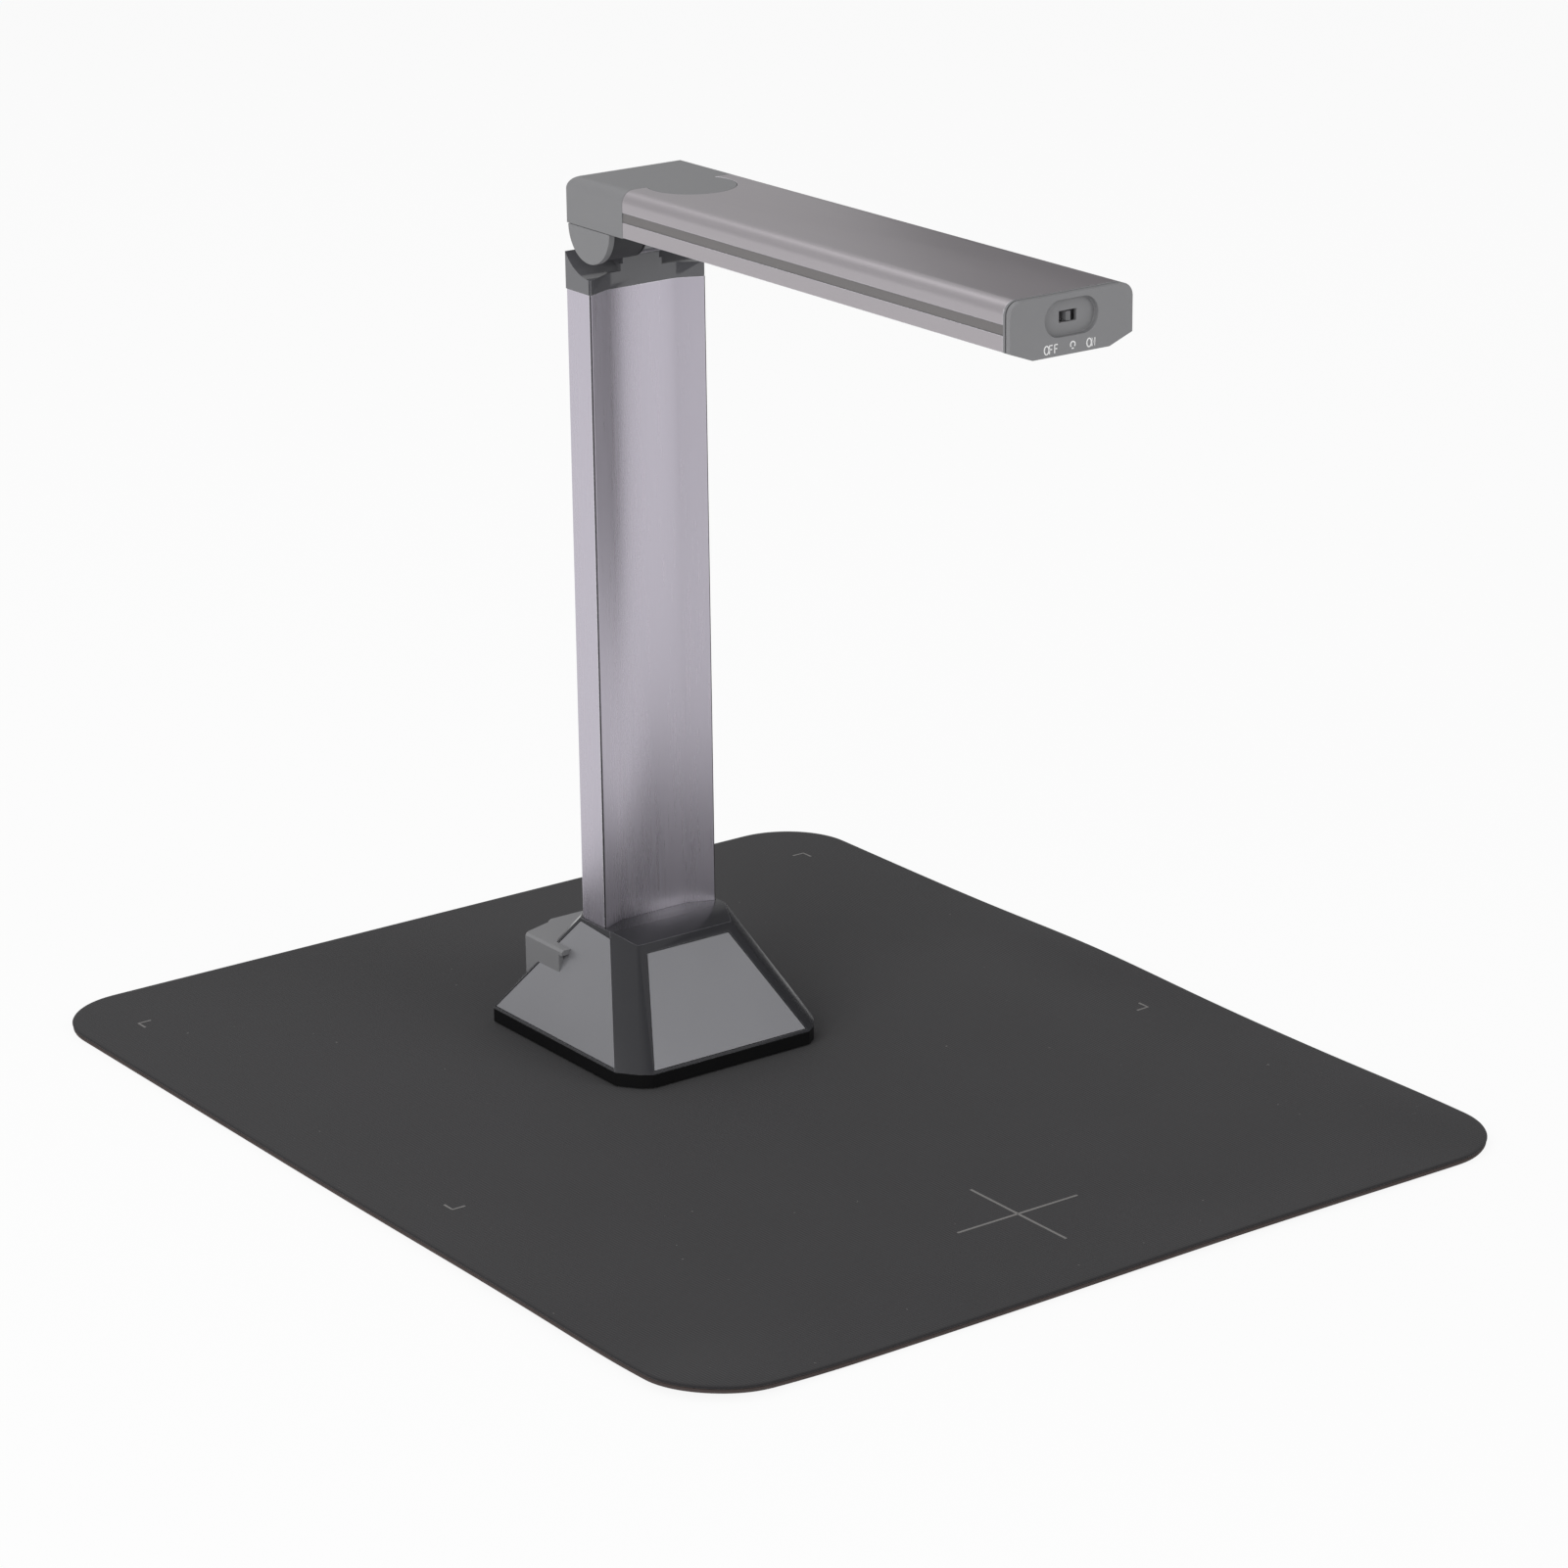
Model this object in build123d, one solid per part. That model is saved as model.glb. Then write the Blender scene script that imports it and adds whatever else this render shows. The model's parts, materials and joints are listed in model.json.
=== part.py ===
from build123d import *
import math
import os

# Book scanner: a document camera whose folding arm looks down on a soft scanning mat.
# Millimetres, +Z up. The origin is the centre of the mat's underside; the arm points to -Y.

# ---- Scanning mat ----
MAT_WIDTH = 340.0
MAT_DEPTH = 411.0
MAT_CORNER_RADIUS = 28.0
CLOTH_THICKNESS = 0.8
RUBBER_THICKNESS = 1.7
MAT_TOP = CLOTH_THICKNESS + RUBBER_THICKNESS

# ---- Where the stand is set down on the mat: the base's centre ----
STAND_X = -3.5
STAND_Y = 53.7

# ---- General clearances ----
RUNNING_GAP = 0.05
SEAT_GAP = 0.15
PANEL_GAP = 0.3
MOVING_GAP = 0.4

# ---- Base: a faceted pyramid on a straight rim ----
FOOT_PROUD = 0.5
RIM_HEIGHT = 5.0
BASE_HEIGHT = 39.5
RIM_HALF_X = 42.9
RIM_HALF_Y = 44.2
RIM_BACK_Y = 46.2
TOP_HALF_X = 24.7
TOP_BACK_Y = 16.0
SHOULDER_Y = 6.5
SHOULDER_FRONT_Y = 16.2
SHOULDER_DROP = 3.2
FRONT_EDGE_HALF_X = 33.5
CORNER_MID_INSET = (5.4, 2.8)
SIDE_EDGE_INSET = 10.1
BACK_CORNER = 3.0
BASE_WALL = 2.4
PANEL_THICKNESS = 0.8
PANEL_MARGIN = 1.0
FRONT_PANEL_TOP_HALF_X = 17.4
FRONT_PANEL_TOP_DROP = 2.8
SIDE_PANEL_FRONT_DROP = 2.0
SIDE_PANEL_BACK_DROP = 1.0
TRAY_FLOOR = 2.0
FOOT_RADIUS = 5.0
FOOT_RECESS = 1.0
FOOT_INSET_X = 9.0
FOOT_INSET_Y = 10.0
BALLAST_THICKNESS = 6.0
BALLAST_HALF_X = 30.0
BALLAST_FRONT_Y = 36.0
BALLAST_BACK_Y = 3.0
TRAY_SCREW_RADIUS = 1.5
TRAY_SCREW_X = 33.0
TRAY_SCREW_Y = 24.0

# ---- Port housing at the back of the base ----
PORT_HALF_X = 33.5
PORT_TOP_ABOVE_RIM = 29.0
PORT_BACK_Y = 42.6
PORT_STEP_HALF_X = 18.5
PORT_STEP = 2.2
PORT_CORNER = (12.5, 5.0)
PORT_BEVEL = 1.6
PORT_WALL = 2.0
PORT_FRONT_Y = 12.0
INLET_WIDTH = 10.6
INLET_HEIGHT = 4.8
INLET_WALL = 0.8
INLET_DEPTH = 12.0
INLET_TONGUE = (6.7, 0.7)
INLET_ABOVE_RIM = 3.0
INLET_X = 0.0
BOARD_THICKNESS = 1.6
BOARD_HALF_X = 24.0
BOARD_DEPTH = 28.0

# ---- Column: a rear channel and a recessed front extrusion ----
COLUMN_HEIGHT = 227.5
COLUMN_HALF_X = 23.9
COLUMN_DEPTH = 14.4
COLUMN_WALL = 1.5
COLUMN_IN_BASE = 24.0
RIDGE_WIDTH = 0.5
RECESS_HALF_X = 14.0
RECESS_DEPTH = 3.8
FRONT_WALL = 1.4
SEAM_WIDTH = 0.4
FOOT_BLOCK_HEIGHT = 20.0
CAP_SPIGOT = 14.0

# ---- Hinge ----
AXIS_ABOVE_COLUMN = 23.1
AXIS_BEFORE_COLUMN = 0.4
SCOOP_RADIUS = 18.0
CAP_BACK_HEIGHT = 12.5
CAP_FRONT_RISE = 2.0
BARREL_RADIUS = 11.5
KNUCKLE_HALF_X = 7.5
WASHER_THICKNESS = 0.8
WASHER_RADIUS = 9.0
SHAFT_RADIUS = 3.0
EAR_RADIUS = 12.3
EAR_THICKNESS = 2.4
NUT_RADIUS = 5.5
NUT_THICKNESS = 3.0
FOLD_RANGE = 90.0

# ---- Head and arm ----
ARM_HALF_X = 24.0
HEAD_TOP_ABOVE_AXIS = 16.1
HEAD_BACK_OF_AXIS = 13.0
HEAD_FRONT_OF_AXIS = 20.3
HEAD_WALL = 2.0
TONGUE_RADIUS = 15.0
TONGUE_CENTRE_FORWARD = 6.5
TONGUE_THICKNESS = 1.0
ARM_LENGTH = 203.0
ARM_EDGE_RADIUS = 4.5
ARM_SIDE_LOW = 0.35
ARM_BOTTOM = -3.0
ARM_FLAT_HALF_X = 15.0
ARM_WALL = 1.4
GROOVE_LOW = 5.5
GROOVE_HIGH = 8.8
GROOVE_DEPTH = 0.6
COVER_THICKNESS = 1.6
COLLAR_LENGTH = 0.9
COLLAR_GAP = 0.5
CAP_LENGTH = 2.0
CAP_PLUG = 6.0
CAP_RECESS_WIDTH = 20.8
CAP_RECESS_HEIGHT = 11.5
CAP_RECESS_DEPTH = 2.0
CAP_RECESS_Z = 8.5
SLOT_WIDTH = 6.7
SLOT_HEIGHT = 3.5
KNOB_WIDTH = 1.7
KNOB_HEIGHT = 2.9
KNOB_REACH = 3.0
SWITCH_TRAVEL = 2.0
SWITCH_BODY = (13.0, 6.0, 7.0)

# ---- Camera and lamps in the arm ----
LENS_FROM_TIP = 18.0
LENS_RADIUS = 5.0
LENS_HOLDER_HALF = 7.5
LENS_HOLDER_HEIGHT = 6.0
WINDOW_RADIUS = 6.0
WINDOW_THICKNESS = 1.0
CAMERA_BOARD_HALF_X = 14.0
CAMERA_BOARD_DEPTH = 24.0
LAMP_FROM_LENS = 26.0
LAMP_LENGTH = 22.0
LAMP_WIDTH = 9.0
DIFFUSER_THICKNESS = 1.2
LAMP_BOARD_HALF_X = 14.0

# ---- Fasteners and ribbon cables ----
SCREW_RADIUS = 1.25
SCREW_HEAD_RADIUS = 2.3
SCREW_HEAD_HEIGHT = 1.4
RIBBON_WIDTH = 8.0
RIBBON_THICKNESS = 0.8

# ---- Heights and places worked out from the sizes above ----
RIM_BOTTOM = MAT_TOP + FOOT_PROUD
RIM_TOP = RIM_BOTTOM + RIM_HEIGHT
BASE_TOP = RIM_TOP + BASE_HEIGHT
COLUMN_TOP = BASE_TOP + COLUMN_HEIGHT
COLUMN_FOOT = BASE_TOP - COLUMN_IN_BASE
COLUMN_FRONT = -1.6
COLUMN_BACK = COLUMN_FRONT + COLUMN_DEPTH
AXIS_Y = COLUMN_FRONT - AXIS_BEFORE_COLUMN
AXIS_Z = COLUMN_TOP + AXIS_ABOVE_COLUMN
HEAD_TOP = AXIS_Z + HEAD_TOP_ABOVE_AXIS
HEAD_BACK = AXIS_Y + HEAD_BACK_OF_AXIS
SEAM_Y = AXIS_Y - HEAD_FRONT_OF_AXIS
ARM_END = SEAM_Y - ARM_LENGTH
COLLAR_FRONT = ARM_END - COLLAR_LENGTH
CAP_BACK = COLLAR_FRONT - COLLAR_GAP
TIP_Y = CAP_BACK - CAP_LENGTH
LENS_Y = TIP_Y + LENS_FROM_TIP
BARREL_INNER_X = KNUCKLE_HALF_X + WASHER_THICKNESS + 2 * RUNNING_GAP
EAR_INNER_X = ARM_HALF_X - EAR_THICKNESS
PORT_TOP = RIM_TOP + PORT_TOP_ABOVE_RIM
RIBBON_Y = COLUMN_FRONT + RECESS_DEPTH + FRONT_WALL + 2.5


# ---- Helpers ----
def box(x0, x1, y0, y1, z0, z1):
    """Block between two corners."""
    centre = ((x0 + x1) / 2, (y0 + y1) / 2, (z0 + z1) / 2)
    return Pos(*centre) * Box(abs(x1 - x0), abs(y1 - y0), abs(z1 - z0))


def prism(points, z0, z1):
    """Upright prism on a closed outline."""
    outline = Polyline(*points, close=True)
    return Pos(0, 0, z0) * extrude(make_face(outline), amount=z1 - z0)


def rod_x(radius, x0, x1, y=AXIS_Y, z=AXIS_Z):
    """Round bar along X."""
    return Pos((x0 + x1) / 2, y, z) * Rot(0, 90, 0) * Cylinder(radius, abs(x1 - x0))


def rod_z(radius, x, y, z0, z1):
    """Round bar along Z."""
    return Pos(x, y, (z0 + z1) / 2) * Cylinder(radius, abs(z1 - z0))


def rod_y(radius, x, z, y0, y1):
    """Round bar along Y."""
    return Pos(x, (y0 + y1) / 2, z) * Rot(90, 0, 0) * Cylinder(radius, abs(y1 - y0))


def mirrored(points):
    """Outline of the +X half, given from bottom to top, closed by its mirror image."""
    return points + [(-x, y) for x, y in reversed(points)]


def along_arm(profile, y_back, y_front):
    """Carry a flat (x, z) profile along the arm, from y_back forward to y_front."""
    plane = Plane(origin=(0, y_back, 0), x_dir=(1, 0, 0), z_dir=(0, -1, 0))
    return extrude(plane * profile, amount=y_back - y_front)


def both_sides(shape):
    """A shape and its mirror image in the stand's middle plane."""
    return [shape, mirror(shape, about=Plane.YZ)]


def group(shapes):
    """Separate solids kept as one sub-part."""
    solids = [solid for shape in shapes for solid in shape.solids()]
    return Compound(solids)


def screw_down(x, y, z_seat, length):
    """Pan-head screw whose head stands on z_seat and whose shank goes down."""
    head = rod_z(SCREW_HEAD_RADIUS, x, y, z_seat, z_seat + SCREW_HEAD_HEIGHT)
    return head + rod_z(SCREW_RADIUS, x, y, z_seat - length, z_seat)


# ---- Mat ----
def mat_sheet(z0, z1):
    outline = RectangleRounded(MAT_WIDTH, MAT_DEPTH, MAT_CORNER_RADIUS)
    return Pos(0, 0, z0) * extrude(outline, amount=z1 - z0)


# ---- Base ----
def rim_outline(inset=0.0):
    """The base's footprint: long facets at the front corners, small ones at the back."""
    x_side = RIM_HALF_X - inset
    y_end = RIM_HALF_Y - inset
    mid = (x_side - CORNER_MID_INSET[0], -y_end + CORNER_MID_INSET[1])
    half = [
        (FRONT_EDGE_HALF_X - inset / 2, -y_end),
        mid,
        (x_side, -y_end + SIDE_EDGE_INSET),
        (x_side, RIM_BACK_Y - inset - BACK_CORNER),
        (x_side - BACK_CORNER, RIM_BACK_Y - inset),
    ]
    return mirrored(half)


def facet_planes():
    """Each facet of the pyramid on the +X side, as three points seen from outside."""
    shoulder = BASE_TOP - SHOULDER_DROP
    side_low = (RIM_HALF_X, 0, RIM_TOP)
    side_high = (TOP_HALF_X, 0, BASE_TOP)
    mid = (RIM_HALF_X - CORNER_MID_INSET[0], -RIM_HALF_Y + CORNER_MID_INSET[1], RIM_TOP)
    side_start = (RIM_HALF_X, -RIM_HALF_Y + SIDE_EDGE_INSET, RIM_TOP)
    front_start = (FRONT_EDGE_HALF_X, -RIM_HALF_Y, RIM_TOP)
    shoulder_back = (TOP_HALF_X, -SHOULDER_Y, BASE_TOP)
    shoulder_front = (TOP_HALF_X * 0.8, -SHOULDER_FRONT_Y, shoulder)
    upper_corner = tuple((a + b) / 2 for a, b in zip(shoulder_back, shoulder_front))
    back_a = (RIM_HALF_X, RIM_BACK_Y - BACK_CORNER, RIM_TOP)
    back_b = (RIM_HALF_X - BACK_CORNER, RIM_BACK_Y, RIM_TOP)
    back_top = (TOP_HALF_X - BACK_CORNER / 2, TOP_BACK_Y - BACK_CORNER / 2, BASE_TOP)
    return {
        "side": (side_low, (RIM_HALF_X, 10, RIM_TOP), side_high),
        "front": ((0, -RIM_HALF_Y, RIM_TOP), front_start, (0, -SHOULDER_FRONT_Y, shoulder)),
        "shoulder": ((0, -SHOULDER_FRONT_Y, shoulder), shoulder_front, (0, -SHOULDER_Y, BASE_TOP)),
        "long_corner": (mid, side_start, upper_corner),
        "front_corner": (front_start, mid, shoulder_front),
        "back": (back_b, (0, RIM_BACK_Y, RIM_TOP), (0, TOP_BACK_Y, BASE_TOP)),
        "back_corner": (back_a, back_b, back_top),
    }


def facet_plane(name, inset=0.0):
    """Plane of a facet, its normal outward, moved inward by inset."""
    a, b, c = [Vector(*point) for point in facet_planes()[name]]
    normal = (b - a).cross(c - a).normalized()
    return Plane(origin=a - normal * inset, x_dir=(b - a).normalized(), z_dir=normal)


def pyramid(inset=0.0, top=BASE_TOP, bottom=RIM_TOP):
    """The faceted block, or the smaller one a wall thickness inside it."""
    solid = box(-RIM_HALF_X - 5, RIM_HALF_X + 5, -RIM_HALF_Y - 5, RIM_BACK_Y + 5, bottom, top)
    for name in facet_planes():
        plane = facet_plane(name, inset)
        solid = split(solid, bisect_by=plane, keep=Keep.BOTTOM)
        turned = Plane(
            origin=(-plane.origin.X, plane.origin.Y, plane.origin.Z),
            x_dir=(-plane.x_dir.X, plane.x_dir.Y, plane.x_dir.Z),
            z_dir=(-plane.z_dir.X, plane.z_dir.Y, plane.z_dir.Z),
        )
        solid = split(solid, bisect_by=turned, keep=Keep.BOTTOM)
    return solid


def slope_point(name, x, y, z):
    """Point of a facet at height z: solves for y on the front facet and for x on the side."""
    plane = facet_plane(name)
    n, o = plane.z_dir, plane.origin
    if name == "front":
        y = o.Y - (n.X * (x - o.X) + n.Z * (z - o.Z)) / n.Y
    else:
        x = o.X - (n.Y * (y - o.Y) + n.Z * (z - o.Z)) / n.X
    return Vector(x, y, z)


def facet_plate(name, corners, grow, thickness):
    """Flat plate let into a facet: corners lie on it, grow widens the outline evenly."""
    plane = facet_plane(name)
    outline = make_face(Polyline(*corners, close=True))
    if grow:
        outline = offset(outline, amount=grow, kind=Kind.INTERSECTION)
    return extrude(outline, amount=-thickness, dir=plane.z_dir)


def front_panel(grow=0.0, thickness=PANEL_THICKNESS):
    low = RIM_TOP + PANEL_MARGIN
    high = BASE_TOP - SHOULDER_DROP - FRONT_PANEL_TOP_DROP
    low_x = FRONT_EDGE_HALF_X - PANEL_MARGIN
    corners = [
        slope_point("front", -low_x, 0, low),
        slope_point("front", low_x, 0, low),
        slope_point("front", FRONT_PANEL_TOP_HALF_X, 0, high),
        slope_point("front", -FRONT_PANEL_TOP_HALF_X, 0, high),
    ]
    return facet_plate("front", corners, grow, thickness)


def side_panel(grow=0.0, thickness=PANEL_THICKNESS):
    low = RIM_TOP + PANEL_MARGIN
    high_front = BASE_TOP - SIDE_PANEL_FRONT_DROP
    high_back = BASE_TOP - SIDE_PANEL_BACK_DROP
    front_low = -RIM_HALF_Y + SIDE_EDGE_INSET + PANEL_MARGIN
    front_high = -SHOULDER_Y - PANEL_MARGIN / 2
    back_low = RIM_BACK_Y - BACK_CORNER - PANEL_MARGIN
    back_high = TOP_BACK_Y - BACK_CORNER - PANEL_MARGIN
    corners = [
        slope_point("side", 0, front_low, low),
        slope_point("side", 0, back_low, low),
        slope_point("side", 0, back_high, high_back),
        slope_point("side", 0, front_high, high_front),
    ]
    return facet_plate("side", corners, grow, thickness)


def column_outline(grow=0.0):
    """The column's full section: a shallow box with the arm's trough down its front."""
    ridge = COLUMN_HALF_X - RIDGE_WIDTH - SEAM_WIDTH
    return mirrored([
        (RECESS_HALF_X, COLUMN_FRONT + RECESS_DEPTH - grow),
        (ridge, COLUMN_FRONT - grow),
        (COLUMN_HALF_X + grow, COLUMN_FRONT - grow),
        (COLUMN_HALF_X + grow, COLUMN_BACK + grow),
    ])


def base_shell():
    body = pyramid() - pyramid(BASE_WALL, BASE_TOP - BASE_WALL, RIM_TOP)
    body -= front_panel(PANEL_GAP, PANEL_THICKNESS)
    for pocket in both_sides(side_panel(PANEL_GAP, PANEL_THICKNESS)):
        body -= pocket
    body -= prism(column_outline(SEAT_GAP), COLUMN_FOOT, BASE_TOP + 1)
    inner_x = PORT_HALF_X - PORT_WALL
    body -= box(-inner_x, inner_x, COLUMN_BACK + 4, RIM_BACK_Y, RIM_TOP, PORT_TOP - PORT_WALL)
    for x, y in tray_screw_places():
        boss = rod_z(TRAY_SCREW_RADIUS + 2, x, y, RIM_TOP, RIM_TOP + 12) & pyramid(BASE_WALL)
        body += boss
        body -= rod_z(TRAY_SCREW_RADIUS, x, y, RIM_TOP - 1, RIM_TOP + 9)
    return body


def tray_screw_places():
    return [(sx * TRAY_SCREW_X, sy * TRAY_SCREW_Y) for sx in (-1, 1) for sy in (-1, 1)]


def foot_places():
    x = RIM_HALF_X - FOOT_INSET_X
    y = RIM_HALF_Y - FOOT_INSET_Y
    return [(sx * x, sy * y) for sx in (-1, 1) for sy in (-1, 1)]


def base_rim():
    """Black tray: straight rim, floor, recesses for feet and countersunk screw holes."""
    wall = 2.5
    tray = prism(rim_outline(), RIM_BOTTOM, RIM_TOP)
    tray -= prism(rim_outline(wall), RIM_BOTTOM + TRAY_FLOOR, RIM_TOP + 1)
    for x, y in foot_places():
        tray -= rod_z(FOOT_RADIUS + SEAT_GAP, x, y, RIM_BOTTOM - 1, RIM_BOTTOM + FOOT_RECESS)
    for x, y in tray_screw_places():
        tray += rod_z(TRAY_SCREW_RADIUS + 2, x, y, RIM_BOTTOM + TRAY_FLOOR, RIM_TOP)
        tray -= rod_z(TRAY_SCREW_RADIUS + SEAT_GAP, x, y, RIM_BOTTOM - 1, RIM_TOP + 1)
        tray -= rod_z(SCREW_HEAD_RADIUS + SEAT_GAP, x, y, RIM_BOTTOM - 1, RIM_BOTTOM + 1.5)
    return tray


def base_screws():
    screws = []
    for x, y in tray_screw_places():
        head = rod_z(SCREW_HEAD_RADIUS, x, y, RIM_BOTTOM + 0.1, RIM_BOTTOM + 1.5)
        screws.append(head + rod_z(TRAY_SCREW_RADIUS - 0.02, x, y, RIM_BOTTOM + 1.5, RIM_TOP + 8))
    return group(screws)


def base_feet():
    feet = [rod_z(FOOT_RADIUS, x, y, MAT_TOP, RIM_BOTTOM + FOOT_RECESS) for x, y in foot_places()]
    return group(feet)


def ballast_plate():
    """Steel plate on the tray floor, cut round the front screw posts."""
    floor = RIM_BOTTOM + TRAY_FLOOR
    plate = box(-BALLAST_HALF_X, BALLAST_HALF_X, -BALLAST_FRONT_Y, -BALLAST_BACK_Y,
                floor, floor + BALLAST_THICKNESS)
    plate &= pyramid(BASE_WALL + 0.5, BASE_TOP - BASE_WALL, RIM_BOTTOM)
    for x, y in tray_screw_places():
        plate -= rod_z(TRAY_SCREW_RADIUS + 2.5, x, y, floor - 1, RIM_TOP + 12)
    return plate


def foot_block():
    """Block on the tray floor whose tongue fills the column's foot."""
    floor = RIM_BOTTOM + TRAY_FLOOR
    x = COLUMN_HALF_X - COLUMN_WALL - SEAT_GAP
    front = COLUMN_FRONT + RECESS_DEPTH + FRONT_WALL + SEAT_GAP
    back = COLUMN_BACK - COLUMN_WALL - SEAT_GAP
    block = box(-x, x, COLUMN_FRONT, COLUMN_BACK, floor, COLUMN_FOOT)
    block += box(-x + 2, x - 2, front, back, COLUMN_FOOT, COLUMN_FOOT + FOOT_BLOCK_HEIGHT)
    hole = RIBBON_WIDTH / 2 + 1
    return block - box(-hole, hole, RIBBON_Y - 1.2, RIBBON_Y + 1.2, floor - 1, BASE_TOP)


# ---- Port housing ----
def port_outline(inset=0.0):
    back = PORT_BACK_Y - inset
    side = PORT_HALF_X - inset
    return mirrored([
        (side, PORT_FRONT_Y),
        (side, back - PORT_STEP - PORT_CORNER[1]),
        (side - PORT_BEVEL, back - PORT_STEP - PORT_CORNER[1] + PORT_BEVEL),
        (PORT_STEP_HALF_X + 2.5 - inset, back - PORT_STEP),
        (PORT_STEP_HALF_X - inset, back),
    ])


def port_housing():
    """Hood that runs out level from the back slope, open below and in front."""
    hood = prism(port_outline(), RIM_TOP, PORT_TOP)
    rim = hood.edges().filter_by_position(Axis.Z, PORT_TOP - 0.01, PORT_TOP + 0.01)
    rim = rim.filter_by_position(Axis.Y, PORT_FRONT_Y + 0.01, PORT_BACK_Y + 1)
    hood = chamfer(rim, PORT_BEVEL / 2)
    hood -= prism(port_outline(PORT_WALL), RIM_TOP - 1, PORT_TOP - PORT_WALL)
    hood -= box(-RIM_HALF_X, RIM_HALF_X, PORT_FRONT_Y - 1, PORT_FRONT_Y + PORT_WALL,
                RIM_TOP - 1, PORT_TOP - PORT_WALL)
    hood -= pyramid()
    hood -= inlet_body(SEAT_GAP)
    return hood.solids().sort_by(SortBy.VOLUME)[-1]


def inlet_body(grow=0.0):
    z0 = RIM_TOP + INLET_ABOVE_RIM
    x = INLET_WIDTH / 2 + grow
    return box(INLET_X - x, INLET_X + x, PORT_BACK_Y - INLET_DEPTH, PORT_BACK_Y + grow,
               z0 - grow, z0 + INLET_HEIGHT + grow)


def usb_inlet():
    """Flat cable inlet: a metal can open at the back, with a thin contact tongue inside."""
    can = inlet_body()
    mid = RIM_TOP + INLET_ABOVE_RIM + INLET_HEIGHT / 2
    x, z = INLET_WIDTH / 2 - INLET_WALL, INLET_HEIGHT / 2 - INLET_WALL
    inside = PORT_BACK_Y - INLET_DEPTH + 3
    can -= box(INLET_X - x, INLET_X + x, inside, PORT_BACK_Y + 1, mid - z, mid + z)
    x, z = INLET_TONGUE[0] / 2, INLET_TONGUE[1] / 2
    return can + box(INLET_X - x, INLET_X + x, inside, PORT_BACK_Y - 1.5, mid - z, mid + z)


def main_board():
    """Board under the inlet, on the tray's back posts."""
    top = RIM_TOP + INLET_ABOVE_RIM
    back = PORT_BACK_Y - PORT_WALL - 1.5
    board = box(-BOARD_HALF_X, BOARD_HALF_X, back - BOARD_DEPTH + 4, back, top - BOARD_THICKNESS, top)
    board += box(-18, -8, back - 20, back - 10, top, top + 2)
    board += box(9, 17, back - 18, back - 8, top, top + 1.6)
    return board


def board_posts():
    top = RIM_TOP + INLET_ABOVE_RIM - BOARD_THICKNESS
    back = PORT_BACK_Y - PORT_WALL - 1.5
    floor = RIM_BOTTOM + TRAY_FLOOR
    return [rod_z(2.2, sx * (BOARD_HALF_X - 3), y, floor, top)
            for sx in (-1, 1) for y in (back - BOARD_DEPTH + 8, back - 4)]


# ---- Column ----
def column_front():
    """Front extrusion: two ridges and a trapezoid trough that takes the folded arm."""
    ridge = COLUMN_HALF_X - RIDGE_WIDTH - SEAM_WIDTH
    edge = COLUMN_HALF_X - SEAM_WIDTH
    y0, depth, wall = COLUMN_FRONT, RECESS_DEPTH, FRONT_WALL
    outline = mirrored([
        (RECESS_HALF_X - 0.4, y0 + depth + wall),
        (edge, y0 + wall + 0.4),
        (edge, y0),
        (ridge, y0),
        (RECESS_HALF_X, y0 + depth),
    ])
    return prism(outline, COLUMN_FOOT, COLUMN_TOP)


def column_channel():
    """Rear channel: back and two sides, thinned at the front where the front panel slides in."""
    x, y0, y1, wall = COLUMN_HALF_X, COLUMN_FRONT, COLUMN_BACK, COLUMN_WALL
    shell = prism(mirrored([(x, y0 + 0.3), (x, y1)]), COLUMN_FOOT, COLUMN_TOP)
    verticals = shell.edges().filter_by(Axis.Z).filter_by_position(Axis.Y, y1 - 0.01, y1 + 0.01)
    shell = fillet(verticals, 1.0)
    step = y0 + FRONT_WALL + RECESS_DEPTH
    lip = x - SEAM_WIDTH + RUNNING_GAP
    inner = mirrored([(lip, y0 - 1), (lip, step), (x - wall, step), (x - wall, y1 - wall)])
    return shell - prism(inner, COLUMN_FOOT - 1, COLUMN_TOP + 1)


def cap_space():
    """What the cap's spigot may fill inside the column."""
    x = COLUMN_HALF_X - COLUMN_WALL - 0.6
    front = COLUMN_FRONT + RECESS_DEPTH + FRONT_WALL + SEAT_GAP
    return box(-x, x, front, COLUMN_BACK - COLUMN_WALL - SEAT_GAP, COLUMN_TOP - CAP_SPIGOT, COLUMN_TOP)


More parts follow.
